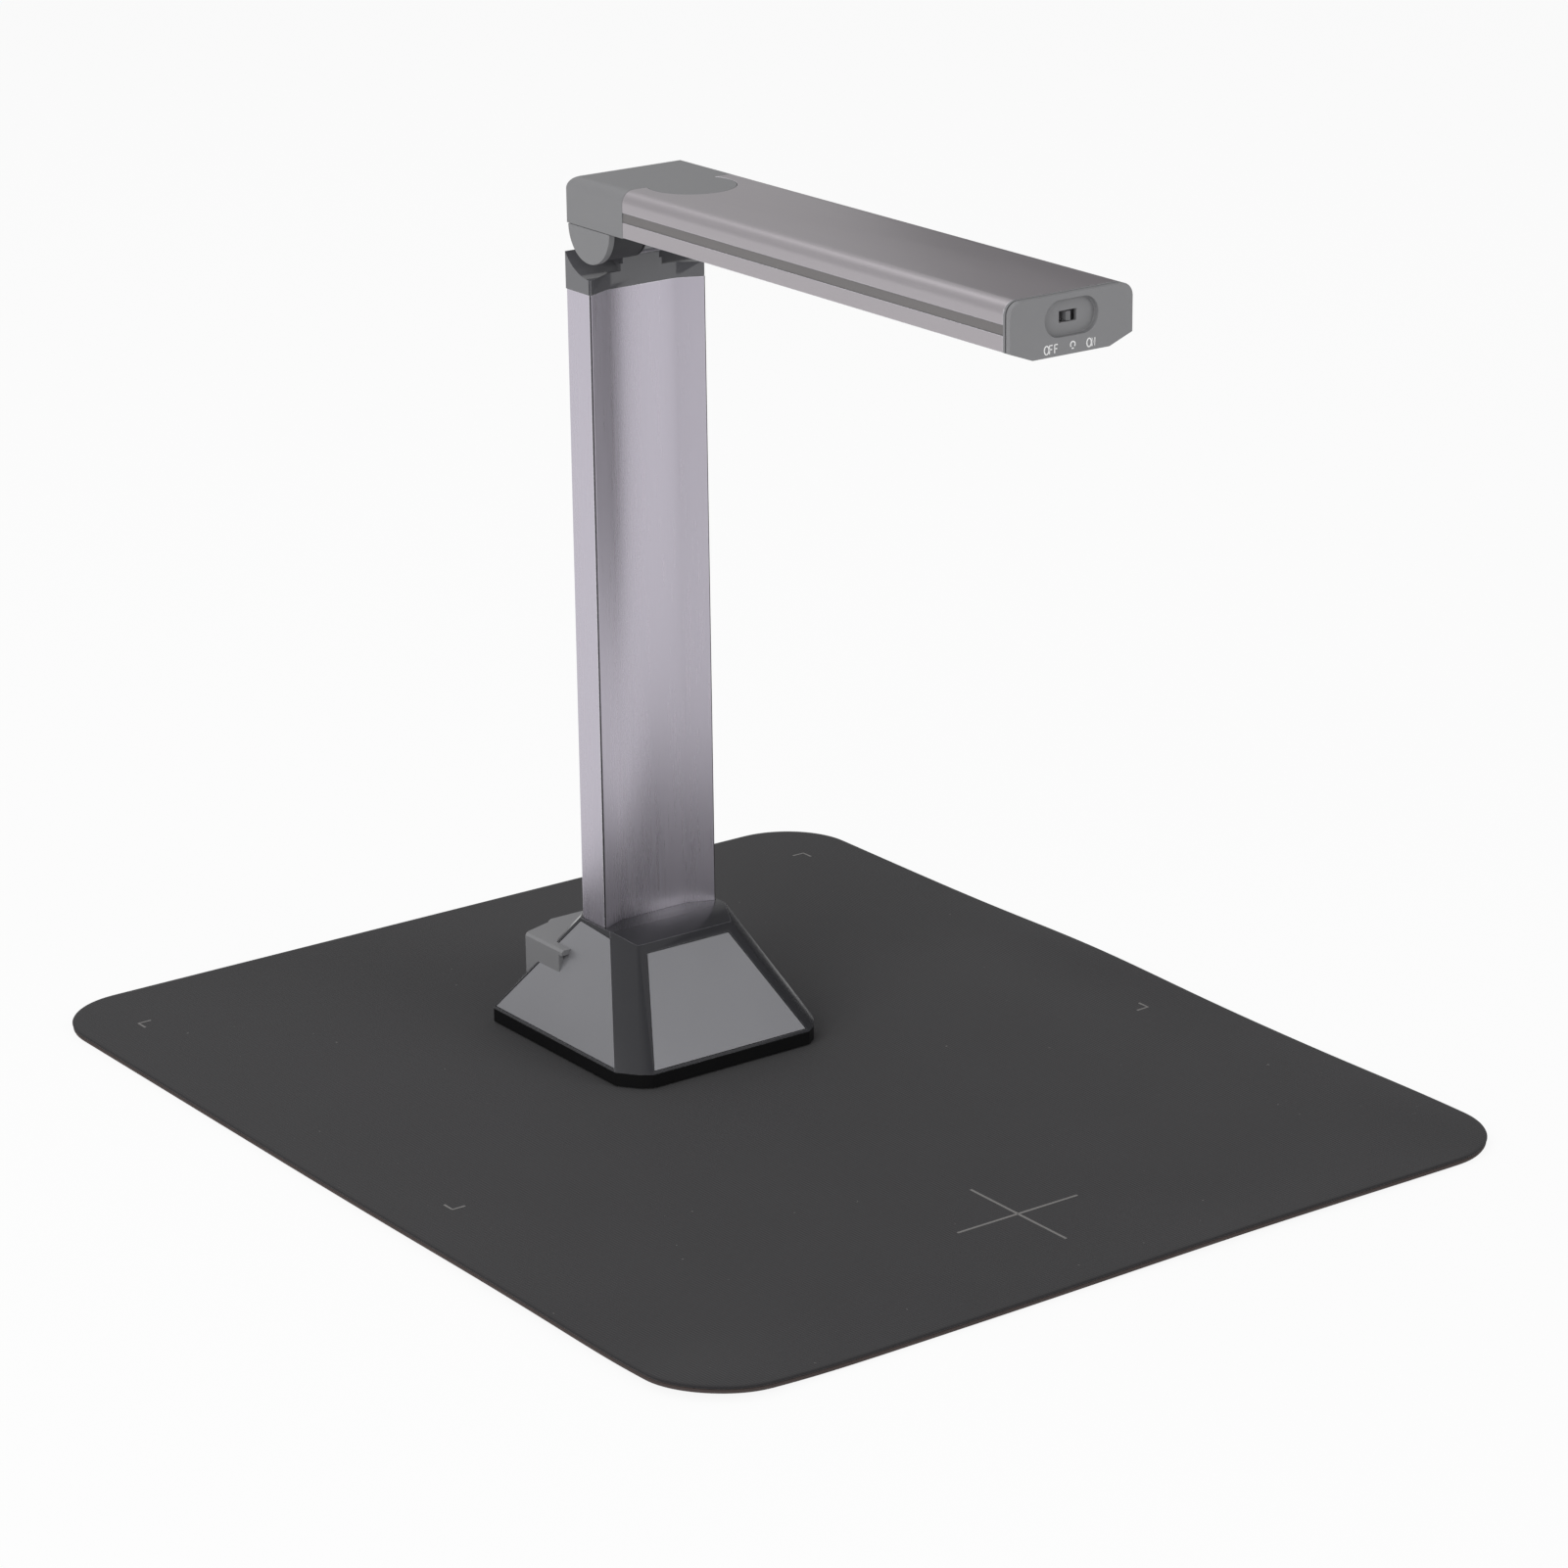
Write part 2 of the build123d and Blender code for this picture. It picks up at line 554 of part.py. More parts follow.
def column_cap():
    """Glossy cap: follows the column's section, scooped round the axis, with one knuckle."""
    back_top = AXIS_Z - CAP_BACK_HEIGHT + 3
    cap = prism(column_outline(), COLUMN_TOP, back_top)
    cap -= rod_x(SCOOP_RADIUS, -COLUMN_HALF_X - 1, COLUMN_HALF_X + 1)
    rise = prism(column_outline(), COLUMN_TOP, AXIS_Z - SCOOP_RADIUS + 1 + CAP_FRONT_RISE)
    lip = COLUMN_FRONT + RECESS_DEPTH
    rise &= box(-KNUCKLE_HALF_X - 1, KNUCKLE_HALF_X + 1, lip - 1, lip + 1.6, COLUMN_TOP, AXIS_Z)
    cap += rise
    web = box(-KNUCKLE_HALF_X, KNUCKLE_HALF_X, AXIS_Y + MOVING_GAP + RECESS_DEPTH,
              AXIS_Y + BARREL_RADIUS, COLUMN_TOP, AXIS_Z)
    cap += web
    cap += rod_x(BARREL_RADIUS, -KNUCKLE_HALF_X, KNUCKLE_HALF_X)
    for x in (-1, 1):
        cap -= box(x * COLUMN_HALF_X, x * (COLUMN_HALF_X - SEAM_WIDTH), COLUMN_FRONT - 1,
                   COLUMN_FRONT + 0.5, COLUMN_TOP - 1, AXIS_Z)
    cap += cap_space()
    cap -= rod_x(SHAFT_RADIUS + RUNNING_GAP, -KNUCKLE_HALF_X - 1, KNUCKLE_HALF_X + 1)
    return cap


# ---- Hinge ----
def hinge_shaft():
    """Plain headed pin, held by both barrels and turning in the column's knuckle."""
    head = rod_x(NUT_RADIUS, -EAR_INNER_X + 0.2, -EAR_INNER_X + 2.2)
    return head + rod_x(SHAFT_RADIUS, -EAR_INNER_X + 2.2, EAR_INNER_X - 0.4)


def friction_washers():
    x0 = KNUCKLE_HALF_X + RUNNING_GAP
    ring = rod_x(WASHER_RADIUS, x0, x0 + WASHER_THICKNESS)
    ring -= rod_x(SHAFT_RADIUS, x0 - 1, x0 + WASHER_THICKNESS + 1)
    return group(both_sides(ring))


def hinge_nut():
    x1 = EAR_INNER_X - 0.8
    plane = Plane(origin=(x1 - NUT_THICKNESS, AXIS_Y, AXIS_Z), x_dir=(0, 1, 0), z_dir=(1, 0, 0))
    nut = extrude(plane * RegularPolygon(NUT_RADIUS, 6), amount=NUT_THICKNESS)
    return nut - rod_x(SHAFT_RADIUS, 0, EAR_INNER_X)


def barrel_recess():
    """Counterbore of each barrel that takes the pin's head or the nut."""
    depth = NUT_THICKNESS + 1.0
    return rod_x(NUT_RADIUS + 0.4, EAR_INNER_X - depth, EAR_INNER_X + 0.1)


def hinge_bracket():
    """Cast bracket: two barrels under a plate that is screwed into the head housing."""
    barrel = rod_x(BARREL_RADIUS, BARREL_INNER_X, EAR_INNER_X - 0.05)
    barrel -= rod_x(SHAFT_RADIUS, 0, ARM_HALF_X)
    barrel -= barrel_recess()
    left, right = both_sides(barrel)
    top = HEAD_TOP - HEAD_WALL - TONGUE_THICKNESS
    x = ARM_HALF_X - HEAD_WALL - ARM_EDGE_RADIUS / 2
    back = HEAD_BACK - HEAD_WALL - ARM_EDGE_RADIUS / 2
    plate_z = AXIS_Z + BARREL_RADIUS + MOVING_GAP
    plate = box(-x, x, SEAM_Y - 12, back - 0.6, plate_z, min(plate_z + 2.0, top))
    block = box(BARREL_INNER_X, x - 0.4, AXIS_Y - 8, AXIS_Y + 8, AXIS_Z, plate_z)
    block -= rod_x(BARREL_RADIUS - 2, 0, ARM_HALF_X)
    bracket = left + right + plate
    for part in both_sides(block):
        bracket += part
    return bracket


def ear_cover():
    """Half disc that closes the end of a barrel below the housing's side."""
    disc = rod_x(EAR_RADIUS, EAR_INNER_X, ARM_HALF_X)
    return disc & box(0, ARM_HALF_X, AXIS_Y - 20, AXIS_Y + 20, AXIS_Z - 20, AXIS_Z - SEAT_GAP)


# ---- Head housing ----
def arm_face(grow=0.0, low=ARM_SIDE_LOW):
    """Arm section above a level: flat top, rounded upper edges, straight sides."""
    x = ARM_HALF_X + grow
    top = HEAD_TOP + grow
    face = make_face(Polyline(*mirrored([(x, AXIS_Z + low), (x, top)]), close=True))
    upper = face.vertices().sort_by(Axis.Y)[-2:]
    return fillet(upper, ARM_EDGE_RADIUS + grow)


def tongue(thickness, grow=0.0):
    """Round tongue that reaches forward over the arm, flush with its top."""
    y = SEAM_Y - TONGUE_CENTRE_FORWARD
    disc = rod_z(TONGUE_RADIUS + grow, 0, y, HEAD_TOP - thickness, HEAD_TOP)
    return disc & box(-30, 30, y - 30, SEAM_Y, HEAD_TOP - thickness, HEAD_TOP)


def head_side(inset=0.0):
    """Side view of the head, its upper back corner rounded, carried across the width."""
    back, front, top = HEAD_BACK - inset, SEAM_Y - inset, HEAD_TOP - inset
    plane = Plane(origin=(-ARM_HALF_X - 1, 0, 0), x_dir=(0, 1, 0), z_dir=(1, 0, 0))
    outline = Polyline((back, AXIS_Z - inset), (back, top), (front, top), (front, AXIS_Z - inset), close=True)
    face = make_face(outline)
    corner = face.vertices().sort_by(Axis.X)[-2:].sort_by(Axis.Y)[-1]
    return extrude(plane * fillet(corner, ARM_EDGE_RADIUS - inset), amount=2 * ARM_HALF_X + 2)


def head_housing():
    """Hood over the hinge: rounded top edges, open below, with the tongue in front."""
    hood = along_arm(arm_face(low=0.0), HEAD_BACK, SEAM_Y) & head_side()
    hood -= along_arm(arm_face(-HEAD_WALL, low=-1.0), HEAD_BACK, SEAM_Y - 1) & head_side(HEAD_WALL)
    hood -= rod_x(BARREL_RADIUS + MOVING_GAP, -EAR_INNER_X, EAR_INNER_X)
    return hood + tongue(TONGUE_THICKNESS)


def head_floor():
    """Plate across the head's underside, in front of the barrels."""
    x = ARM_HALF_X - HEAD_WALL - SEAT_GAP
    front_y = SEAM_Y + SEAT_GAP
    plate = box(-x, x, front_y, AXIS_Y - BARREL_RADIUS - 0.6, AXIS_Z, AXIS_Z + 1.6)
    return plate


# ---- Arm ----
def arm_extrusion():
    """Aluminium channel open below: grooved sides and a seat for the head's tongue."""
    bar = along_arm(arm_face(), SEAM_Y - SEAT_GAP, ARM_END)
    inner_low = ARM_SIDE_LOW - 1.0
    bar -= along_arm(arm_face(-ARM_WALL, low=inner_low), SEAM_Y + 1, ARM_END - 1)
    for x in (-1, 1):
        bar -= box(x * (ARM_HALF_X + 1), x * (ARM_HALF_X - GROOVE_DEPTH), SEAM_Y + 1, ARM_END - 1,
                   AXIS_Z + GROOVE_LOW, AXIS_Z + GROOVE_HIGH)
    return bar - tongue(TONGUE_THICKNESS, SEAT_GAP)


def cover_face(thickness):
    """Trough section that closes the arm's underside."""
    low, deep = AXIS_Z + ARM_SIDE_LOW, AXIS_Z + ARM_BOTTOM
    edge = ARM_HALF_X - ARM_WALL - SEAT_GAP
    slope = (ARM_SIDE_LOW - ARM_BOTTOM) / (ARM_HALF_X - ARM_FLAT_HALF_X)
    edge_low = low - (ARM_HALF_X - edge) * slope
    outline = mirrored([
        (ARM_FLAT_HALF_X, deep),
        (edge, edge_low),
        (edge, low + 2.0),
        (edge - 1.2, low + 2.0),
        (edge - 1.2, edge_low + thickness),
        (ARM_FLAT_HALF_X - 0.6, deep + thickness),
    ])
    return make_face(Polyline(*outline, close=True))


def lamp_places():
    return [LENS_Y + LAMP_FROM_LENS]


def arm_cover():
    cover = along_arm(cover_face(COVER_THICKNESS), SEAM_Y - 0.5, ARM_END)
    deep = AXIS_Z + ARM_BOTTOM
    cover -= rod_z(WINDOW_RADIUS + SEAT_GAP, 0, LENS_Y, deep - 1, deep + WINDOW_THICKNESS)
    cover -= rod_z(LENS_RADIUS + 0.5, 0, LENS_Y, deep - 1, deep + 5)
    cover -= lamp_block(SEAT_GAP, -1.0, COVER_THICKNESS + 1)
    return cover


def lamp_block(grow, low, high):
    """Pair of lamp windows behind the lens, as one cutting or filling block each."""
    deep = AXIS_Z + ARM_BOTTOM
    y = LENS_Y + LAMP_FROM_LENS
    x0 = 2.0 - grow
    one = box(x0, x0 + LAMP_WIDTH + 2 * grow, y - LAMP_LENGTH / 2 - grow, y + LAMP_LENGTH / 2 + grow,
              deep + low, deep + high)
    left, right = both_sides(one)
    return left + right


def lamp_diffusers():
    return group([lamp_block(0.0, 0.2, 0.2 + DIFFUSER_THICKNESS)])


def lamp_board():
    """Lamp board standing on the cover, four lamp chips over each window."""
    z = AXIS_Z + ARM_BOTTOM + COVER_THICKNESS + 1.2
    y = LENS_Y + LAMP_FROM_LENS
    board = box(-LAMP_BOARD_HALF_X, LAMP_BOARD_HALF_X, y - LAMP_LENGTH / 2, y + LAMP_LENGTH / 2, z, z + 1.2)
    for sx in (-1, 1):
        for row in range(4):
            chip_y = y - LAMP_LENGTH / 2 + 3.5 + 5 * row
            board += box(sx * 6.5 - 1.4, sx * 6.5 + 1.4, chip_y - 1.2, chip_y + 1.2, z - 0.8, z)
        board += box(sx * LAMP_BOARD_HALF_X, sx * (LAMP_BOARD_HALF_X - 1.5), y - 8, y + 8,
                     z - 1.2, z)
    return board


def lens_window():
    deep = AXIS_Z + ARM_BOTTOM
    return rod_z(WINDOW_RADIUS, 0, LENS_Y, deep + 0.1, deep + WINDOW_THICKNESS)


def lens_holder():
    z = AXIS_Z + ARM_BOTTOM + COVER_THICKNESS
    side = LENS_HOLDER_HALF
    block = box(-side, side, LENS_Y - side, LENS_Y + side, z, z + LENS_HOLDER_HEIGHT)
    return block - rod_z(LENS_RADIUS, 0, LENS_Y, z - 1, z + LENS_HOLDER_HEIGHT + 1)


def lens_barrel():
    z = AXIS_Z + ARM_BOTTOM + WINDOW_THICKNESS + 0.3
    top = AXIS_Z + ARM_BOTTOM + COVER_THICKNESS + LENS_HOLDER_HEIGHT
    barrel = rod_z(LENS_RADIUS - SEAT_GAP, 0, LENS_Y, z, top - 1)
    cone = Pos(0, LENS_Y, z + 1) * Cone(LENS_RADIUS - 1, LENS_RADIUS - 3, 2)
    return barrel - cone


def camera_board():
    z = AXIS_Z + ARM_BOTTOM + COVER_THICKNESS + LENS_HOLDER_HEIGHT
    y0 = LENS_Y - LENS_HOLDER_HALF + 1.5
    board = box(-CAMERA_BOARD_HALF_X, CAMERA_BOARD_HALF_X, y0, y0 + CAMERA_BOARD_DEPTH, z, z + 1.2)
    return board + box(-4, 4, LENS_Y - 4, LENS_Y + 4, z + 1.2, z + 2.4)


# ---- End of the arm ----
def tip_face(grow=0.0):
    """Full outer section at the arm's tip, with the chamfered underside."""
    x, top = ARM_HALF_X + grow, HEAD_TOP + grow
    outline = mirrored([
        (ARM_FLAT_HALF_X + grow * 0.3, AXIS_Z + ARM_BOTTOM - grow),
        (x, AXIS_Z + ARM_SIDE_LOW),
        (x, top),
    ])
    face = make_face(Polyline(*outline, close=True))
    return fillet(face.vertices().sort_by(Axis.Y)[-2:], ARM_EDGE_RADIUS + grow)


def end_collar():
    """Thin trim ring between the arm and its end cap."""
    ring = along_arm(tip_face(), ARM_END, COLLAR_FRONT)
    return ring - along_arm(tip_face(-2.0), ARM_END + 1, COLLAR_FRONT - 1)


def stadium(width, height, y_back, y_front, z):
    slot = SlotOverall(width, height)
    return along_arm(Pos(0, z) * slot, y_back, y_front)


def end_cap():
    """Front plate with a finger recess and the switch slot, on a plug inside the arm."""
    cap = along_arm(tip_face(), CAP_BACK, TIP_Y)
    cap += along_arm(tip_face(-2.0 - SEAT_GAP), ARM_END, CAP_BACK)
    plug_low = ARM_SIDE_LOW + 2.0 + SEAT_GAP
    cap += along_arm(arm_face(-ARM_WALL - SEAT_GAP, plug_low), ARM_END + CAP_PLUG, ARM_END)
    hollow = -ARM_WALL - SEAT_GAP - 1.5
    cap -= along_arm(arm_face(hollow, plug_low - 0.5), ARM_END + CAP_PLUG + 1, CAP_BACK + 1.5)
    z = AXIS_Z + CAP_RECESS_Z
    cap -= stadium(CAP_RECESS_WIDTH, CAP_RECESS_HEIGHT, TIP_Y + CAP_RECESS_DEPTH, TIP_Y - 1, z)
    slot = box(-SLOT_WIDTH / 2, SLOT_WIDTH / 2, TIP_Y - 1, CAP_BACK + 8, z - SLOT_HEIGHT / 2, z + SLOT_HEIGHT / 2)
    return cap - slot


def switch_body():
    """Slide switch behind the slot: a can with a channel for the knob's foot."""
    w, h, d = SWITCH_BODY
    z = AXIS_Z + CAP_RECESS_Z
    front = CAP_BACK + 1.5 + SEAT_GAP
    body = box(-w / 2, w / 2, front, front + d, z - h / 2, z + h / 2)
    channel_x = KNOB_WIDTH / 2 + SWITCH_TRAVEL + MOVING_GAP
    return body - box(-channel_x, channel_x, front - 1, front + 2.0, z - KNOB_HEIGHT / 2 - 0.3,
                      z + KNOB_HEIGHT / 2 + 0.3)


def switch_knob():
    z = AXIS_Z + CAP_RECESS_Z
    tip = TIP_Y + CAP_RECESS_DEPTH - 0.2
    foot = CAP_BACK + 1.5 + SEAT_GAP + 1.7
    knob = box(-KNOB_WIDTH / 2, KNOB_WIDTH / 2, tip, foot, z - KNOB_HEIGHT / 2, z + KNOB_HEIGHT / 2)
    for row in (-1, 0, 1):
        knob -= box(row * 0.5 - 0.1, row * 0.5 + 0.1, tip - 1, tip + 0.15,
                    z - KNOB_HEIGHT / 2, z + KNOB_HEIGHT / 2)
    return knob


# ---- Ribbon cables ----
def column_ribbon():
    """Flat cable up the column, from the main board's level to the cap's spigot."""
    y = RIBBON_Y
    return box(-RIBBON_WIDTH / 2, RIBBON_WIDTH / 2, y - RIBBON_THICKNESS / 2, y + RIBBON_THICKNESS / 2,
               RIM_BOTTOM + TRAY_FLOOR, COLUMN_TOP - CAP_SPIGOT - 0.5)


def arm_ribbon():
    """Flat cable along the arm's cover, from the head to the camera board."""
    z = AXIS_Z + ARM_BOTTOM + COVER_THICKNESS
    y1 = LENS_Y + LAMP_FROM_LENS + LAMP_LENGTH / 2 + 2
    return box(-RIBBON_WIDTH / 2, RIBBON_WIDTH / 2, y1, SEAM_Y - 1, z, z + RIBBON_THICKNESS)


def base_rim_with_posts():
    tray = base_rim()
    for post in board_posts():
        tray += post
    return tray


STAND_PARTS = {
    "base_shell": base_shell,
    "base_rim": base_rim_with_posts,
    "base_front_panel": front_panel,
    "base_right_panel": side_panel,
    "base_left_panel": lambda: mirror(side_panel(), about=Plane.YZ),
    "base_feet": base_feet,
    "base_screws": base_screws,
    "ballast_plate": ballast_plate,
    "foot_block": foot_block,
    "port_housing": port_housing,
    "usb_inlet": usb_inlet,
    "main_board": main_board,
    "column_front": column_front,
    "column_channel": column_channel,
    "column_cap": column_cap,
    "column_ribbon": column_ribbon,
    "hinge_shaft": hinge_shaft,
    "friction_washers": friction_washers,
    "hinge_nut": hinge_nut,
    "hinge_bracket": hinge_bracket,
    "left_ear_cover": lambda: mirror(ear_cover(), about=Plane.YZ),
    "right_ear_cover": ear_cover,
    "head_housing": head_housing,
    "head_floor": head_floor,
    "arm_extrusion": arm_extrusion,
    "arm_cover": arm_cover,
    "lens_window": lens_window,
    "lens_holder": lens_holder,
    "lens_barrel": lens_barrel,
    "camera_board": camera_board,
    "lamp_diffusers": lamp_diffusers,
    "lamp_board": lamp_board,
    "end_collar": end_collar,
    "end_cap": end_cap,
    "switch_body": switch_body,
    "switch_knob": switch_knob,
    "arm_ribbon": arm_ribbon,
}

os.makedirs("parts", exist_ok=True)
export_step(mat_sheet(0, RUBBER_THICKNESS), "parts/mat_rubber.step")
export_step(mat_sheet(RUBBER_THICKNESS, MAT_TOP), "parts/mat_cloth.step")
for name, make in STAND_PARTS.items():
    export_step(Pos(STAND_X, STAND_Y, 0) * make(), f"parts/{name}.step")
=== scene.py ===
# %% [markdown]
# A document camera on its scanning mat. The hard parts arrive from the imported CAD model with
# their true sizes, so this script gives them finishes and soft edges, lays the cloth mat, prints
# the marks, and sets up a camera, lights and a floor.

# %% Load the frame
import json

import bmesh
import bpy
import numpy as np
from mathutils import Matrix, Vector

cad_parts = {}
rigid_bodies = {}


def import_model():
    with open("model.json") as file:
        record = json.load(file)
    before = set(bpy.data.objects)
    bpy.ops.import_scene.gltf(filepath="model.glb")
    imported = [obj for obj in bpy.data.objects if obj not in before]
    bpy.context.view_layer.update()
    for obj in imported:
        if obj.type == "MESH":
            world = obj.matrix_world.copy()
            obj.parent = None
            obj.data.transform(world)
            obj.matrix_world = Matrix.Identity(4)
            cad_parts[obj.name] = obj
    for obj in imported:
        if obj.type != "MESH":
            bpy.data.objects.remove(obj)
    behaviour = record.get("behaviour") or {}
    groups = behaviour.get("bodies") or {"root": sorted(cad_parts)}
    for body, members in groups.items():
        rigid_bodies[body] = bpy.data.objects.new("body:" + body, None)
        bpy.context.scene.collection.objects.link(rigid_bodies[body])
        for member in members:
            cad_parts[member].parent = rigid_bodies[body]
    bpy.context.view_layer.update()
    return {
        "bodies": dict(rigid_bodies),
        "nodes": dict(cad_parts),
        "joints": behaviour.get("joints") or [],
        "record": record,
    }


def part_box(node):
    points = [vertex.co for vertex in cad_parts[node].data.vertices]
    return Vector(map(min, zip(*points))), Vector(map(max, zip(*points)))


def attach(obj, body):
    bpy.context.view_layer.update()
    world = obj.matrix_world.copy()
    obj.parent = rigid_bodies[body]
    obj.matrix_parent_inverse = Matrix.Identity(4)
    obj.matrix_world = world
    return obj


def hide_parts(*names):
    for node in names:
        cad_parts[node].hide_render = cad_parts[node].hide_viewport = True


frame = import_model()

MM = 0.001

# %% [markdown]
# The camera stands in front of the arm's left side and looks a little down. Its place and its
# three axes are plain numbers in the frame's metres, and a long lens keeps the lines calm.

# %% Camera
CAMERA_PLACE = (-0.93803, -1.31577, 0.66015)
CAMERA_RIGHT = (0.8080279, -0.58903523, -0.0113319)
CAMERA_UP = (0.19877825, 0.25447292, 0.94643053)
CAMERA_BACK = (-0.55459726, -0.7669948, 0.32270861)
CAMERA_LENS = 114.32
SENSOR_WIDTH = 36.0

camera_data = bpy.data.cameras.new("camera")
camera_data.lens = CAMERA_LENS
camera_data.sensor_width = SENSOR_WIDTH
camera = bpy.data.objects.new("camera", camera_data)
bpy.context.scene.collection.objects.link(camera)
turn = Matrix((CAMERA_RIGHT, CAMERA_UP, CAMERA_BACK)).transposed().to_4x4()
camera.matrix_world = Matrix.Translation(CAMERA_PLACE) @ turn
bpy.context.scene.camera = camera
print("camera at", CAMERA_PLACE)

# %% [markdown]
# A studio floor for a product has to look white and still hold a soft shadow. The floor mixes a
# pale diffuse surface with a plain white glow that only the camera and reflections see, so the
# glow never lights the object.

# %% Floor, world and lamps
FLOOR_RADIUS = 12.0
FLOOR_POINTS = 96
FLOOR_DROP = 0.0002
FLOOR_COLOUR = (0.86, 0.86, 0.86, 1)
FLOOR_GLOW = 0.90
SKY_LIGHT = 0.52
WHITE = (1, 1, 1, 1)
scene = bpy.context.scene
scene.view_settings.view_transform = "Standard"


def add_node(tree, kind, **values):
    """A shader node with its plain settings."""
    node = tree.nodes.new(kind)
    for key, value in values.items():
        setattr(node, key, value)
    return node


def seen_directly(tree):
    """1 for rays from the camera or off a glossy or clear surface, 0 for all others."""
    path = add_node(tree, "ShaderNodeLightPath")
    first = add_node(tree, "ShaderNodeMath", operation="ADD", use_clamp=True)
    second = add_node(tree, "ShaderNodeMath", operation="ADD", use_clamp=True)
    tree.links.new(path.outputs["Is Camera Ray"], first.inputs[0])
    tree.links.new(path.outputs["Is Glossy Ray"], first.inputs[1])
    tree.links.new(first.outputs[0], second.inputs[0])
    tree.links.new(path.outputs["Is Transmission Ray"], second.inputs[1])
    return second.outputs[0]


def floor_finish():
    """Pale diffuse floor with a white glow for direct looks."""
    material = bpy.data.materials.new("studio_floor")
    material.use_nodes = True
    tree = material.node_tree
    tree.nodes.clear()
    out = add_node(tree, "ShaderNodeOutputMaterial")
    matt = add_node(tree, "ShaderNodeBsdfDiffuse")
    matt.inputs["Color"].default_value = FLOOR_COLOUR
    glow = add_node(tree, "ShaderNodeEmission")
    share = add_node(tree, "ShaderNodeMath", operation="MULTIPLY")
    share.inputs[1].default_value = FLOOR_GLOW
    mix = add_node(tree, "ShaderNodeMixShader")
    tree.links.new(seen_directly(tree), share.inputs[0])
    tree.links.new(share.outputs[0], mix.inputs[0])
    tree.links.new(matt.outputs[0], mix.inputs[1])
    tree.links.new(glow.outputs[0], mix.inputs[2])
    tree.links.new(mix.outputs[0], out.inputs["Surface"])
    return material


turns = np.linspace(0, 2 * np.pi, FLOOR_POINTS, endpoint=False)
floor_ring = np.stack([np.cos(turns), np.sin(turns), 0 * turns], 1) * FLOOR_RADIUS
floor_mesh = bpy.data.meshes.new("studio_floor")
floor_points = floor_ring - (0, 0, FLOOR_DROP)
floor_mesh.from_pydata(floor_points.tolist(), [], [list(range(FLOOR_POINTS))])
floor_mesh.materials.append(floor_finish())
floor = bpy.data.objects.new("studio_floor", floor_mesh)
scene.collection.objects.link(floor)

world = bpy.data.worlds.new("studio")
scene.world = world
world.use_nodes = True
sky = world.node_tree
sky.nodes.clear()
sky_out = add_node(sky, "ShaderNodeOutputWorld")
sky_soft = add_node(sky, "ShaderNodeBackground")
sky_soft.inputs["Color"].default_value = WHITE
sky_soft.inputs["Strength"].default_value = SKY_LIGHT
sky_white = add_node(sky, "ShaderNodeBackground")
sky_white.inputs["Color"].default_value = WHITE
sky_white.inputs["Strength"].default_value = 1.0
sky_mix = add_node(sky, "ShaderNodeMixShader")
sky_path = add_node(sky, "ShaderNodeLightPath")
sky.links.new(sky_path.outputs["Is Camera Ray"], sky_mix.inputs[0])
sky.links.new(sky_soft.outputs[0], sky_mix.inputs[1])
sky.links.new(sky_white.outputs[0], sky_mix.inputs[2])
sky.links.new(sky_mix.outputs[0], sky_out.inputs["Surface"])


def softbox(name, place, target, size, power):
    """Square area lamp at place, turned to face target."""
    light = bpy.data.lights.new(name, "AREA")
    light.shape = "SQUARE"
    light.size = size
    light.energy = power
    lamp = bpy.data.objects.new(name, light)
    scene.collection.objects.link(lamp)
    facing = (Vector(target) - Vector(place)).to_track_quat("-Z", "Y")
    lamp.matrix_world = Matrix.Translation(place) @ facing.to_matrix().to_4x4()


softbox("key_softbox", (-1.8, -0.7, 1.1), (0, 0, 0.15), 1.4, 19)
softbox("front_softbox", (0.9, -2.1, 1.0), (0, 0, 0.12), 1.2, 10)
softbox("top_softbox", (-0.4, 0.9, 2.1), (0, 0, 0.1), 1.6, 9)

# %% [markdown]
# Metal and gloss only look like metal and gloss when there is something dark to reflect. Two black
# cards stand to the right and in front, as a studio would place them. Only reflections
# see them: they cast no shadow and take no light away.

# %% Black cards for the reflections
CARD_COLOUR = (0.02, 0.02, 0.02, 1)


def black_card(name, corner, along, height):
    """Upright rectangle from a floor corner along a flat direction, seen by reflections only."""
    low, side = Vector(corner), Vector(along)
    rise = Vector((0, 0, height))
    mesh = bpy.data.meshes.new(name)
    mesh.from_pydata([low, low + side, low + side + rise, low + rise], [], [(0, 1, 2, 3)])
    material = bpy.data.materials.new(name)
    material.use_nodes = True
    shader = material.node_tree.nodes["Principled BSDF"]
    shader.inputs["Base Color"].default_value = CARD_COLOUR
    mesh.materials.append(material)
    card = bpy.data.objects.new(name, mesh)
    scene.collection.objects.link(card)
    card.visible_camera = False
    card.visible_diffuse = False
    card.visible_shadow = False
    card.visible_transmission = False


black_card("right_card", (0.42, -0.30, 0.0), (0.1, 0.9, 0), 1.1)
black_card("front_card", (-0.55, -0.50, 0.0), (0.62, 0.0, 0), 0.9)

# %% [markdown]
# Every finish starts from the same recipe: a base colour that drifts a little, a roughness that
# drifts with it, and a fine bump. What changes is the scale and stretch of the drift. A moulded
# plastic has a fine even grain, an anodised bar has long faint lines, and a cloth has a weave.

# %% Finishes: the shared recipe
FINE_SHARE = 0.35
WIDE_SHARE = 0.65
WIDE_SCALE = 22.0
NOISE_LOW, NOISE_HIGH = 0.3, 0.7
GRAIN_HEIGHT = 0.05 * MM
COAT_ROUGHNESS = 0.06


def linear(red, green, blue):
    """Colour written as 0 to 255 on a screen, turned into light."""
    c = np.array([red, green, blue]) / 255.0
    c = np.where(c <= 0.04045, c / 12.92, ((c + 0.055) / 1.055) ** 2.4)
    return (*c.tolist(), 1.0)


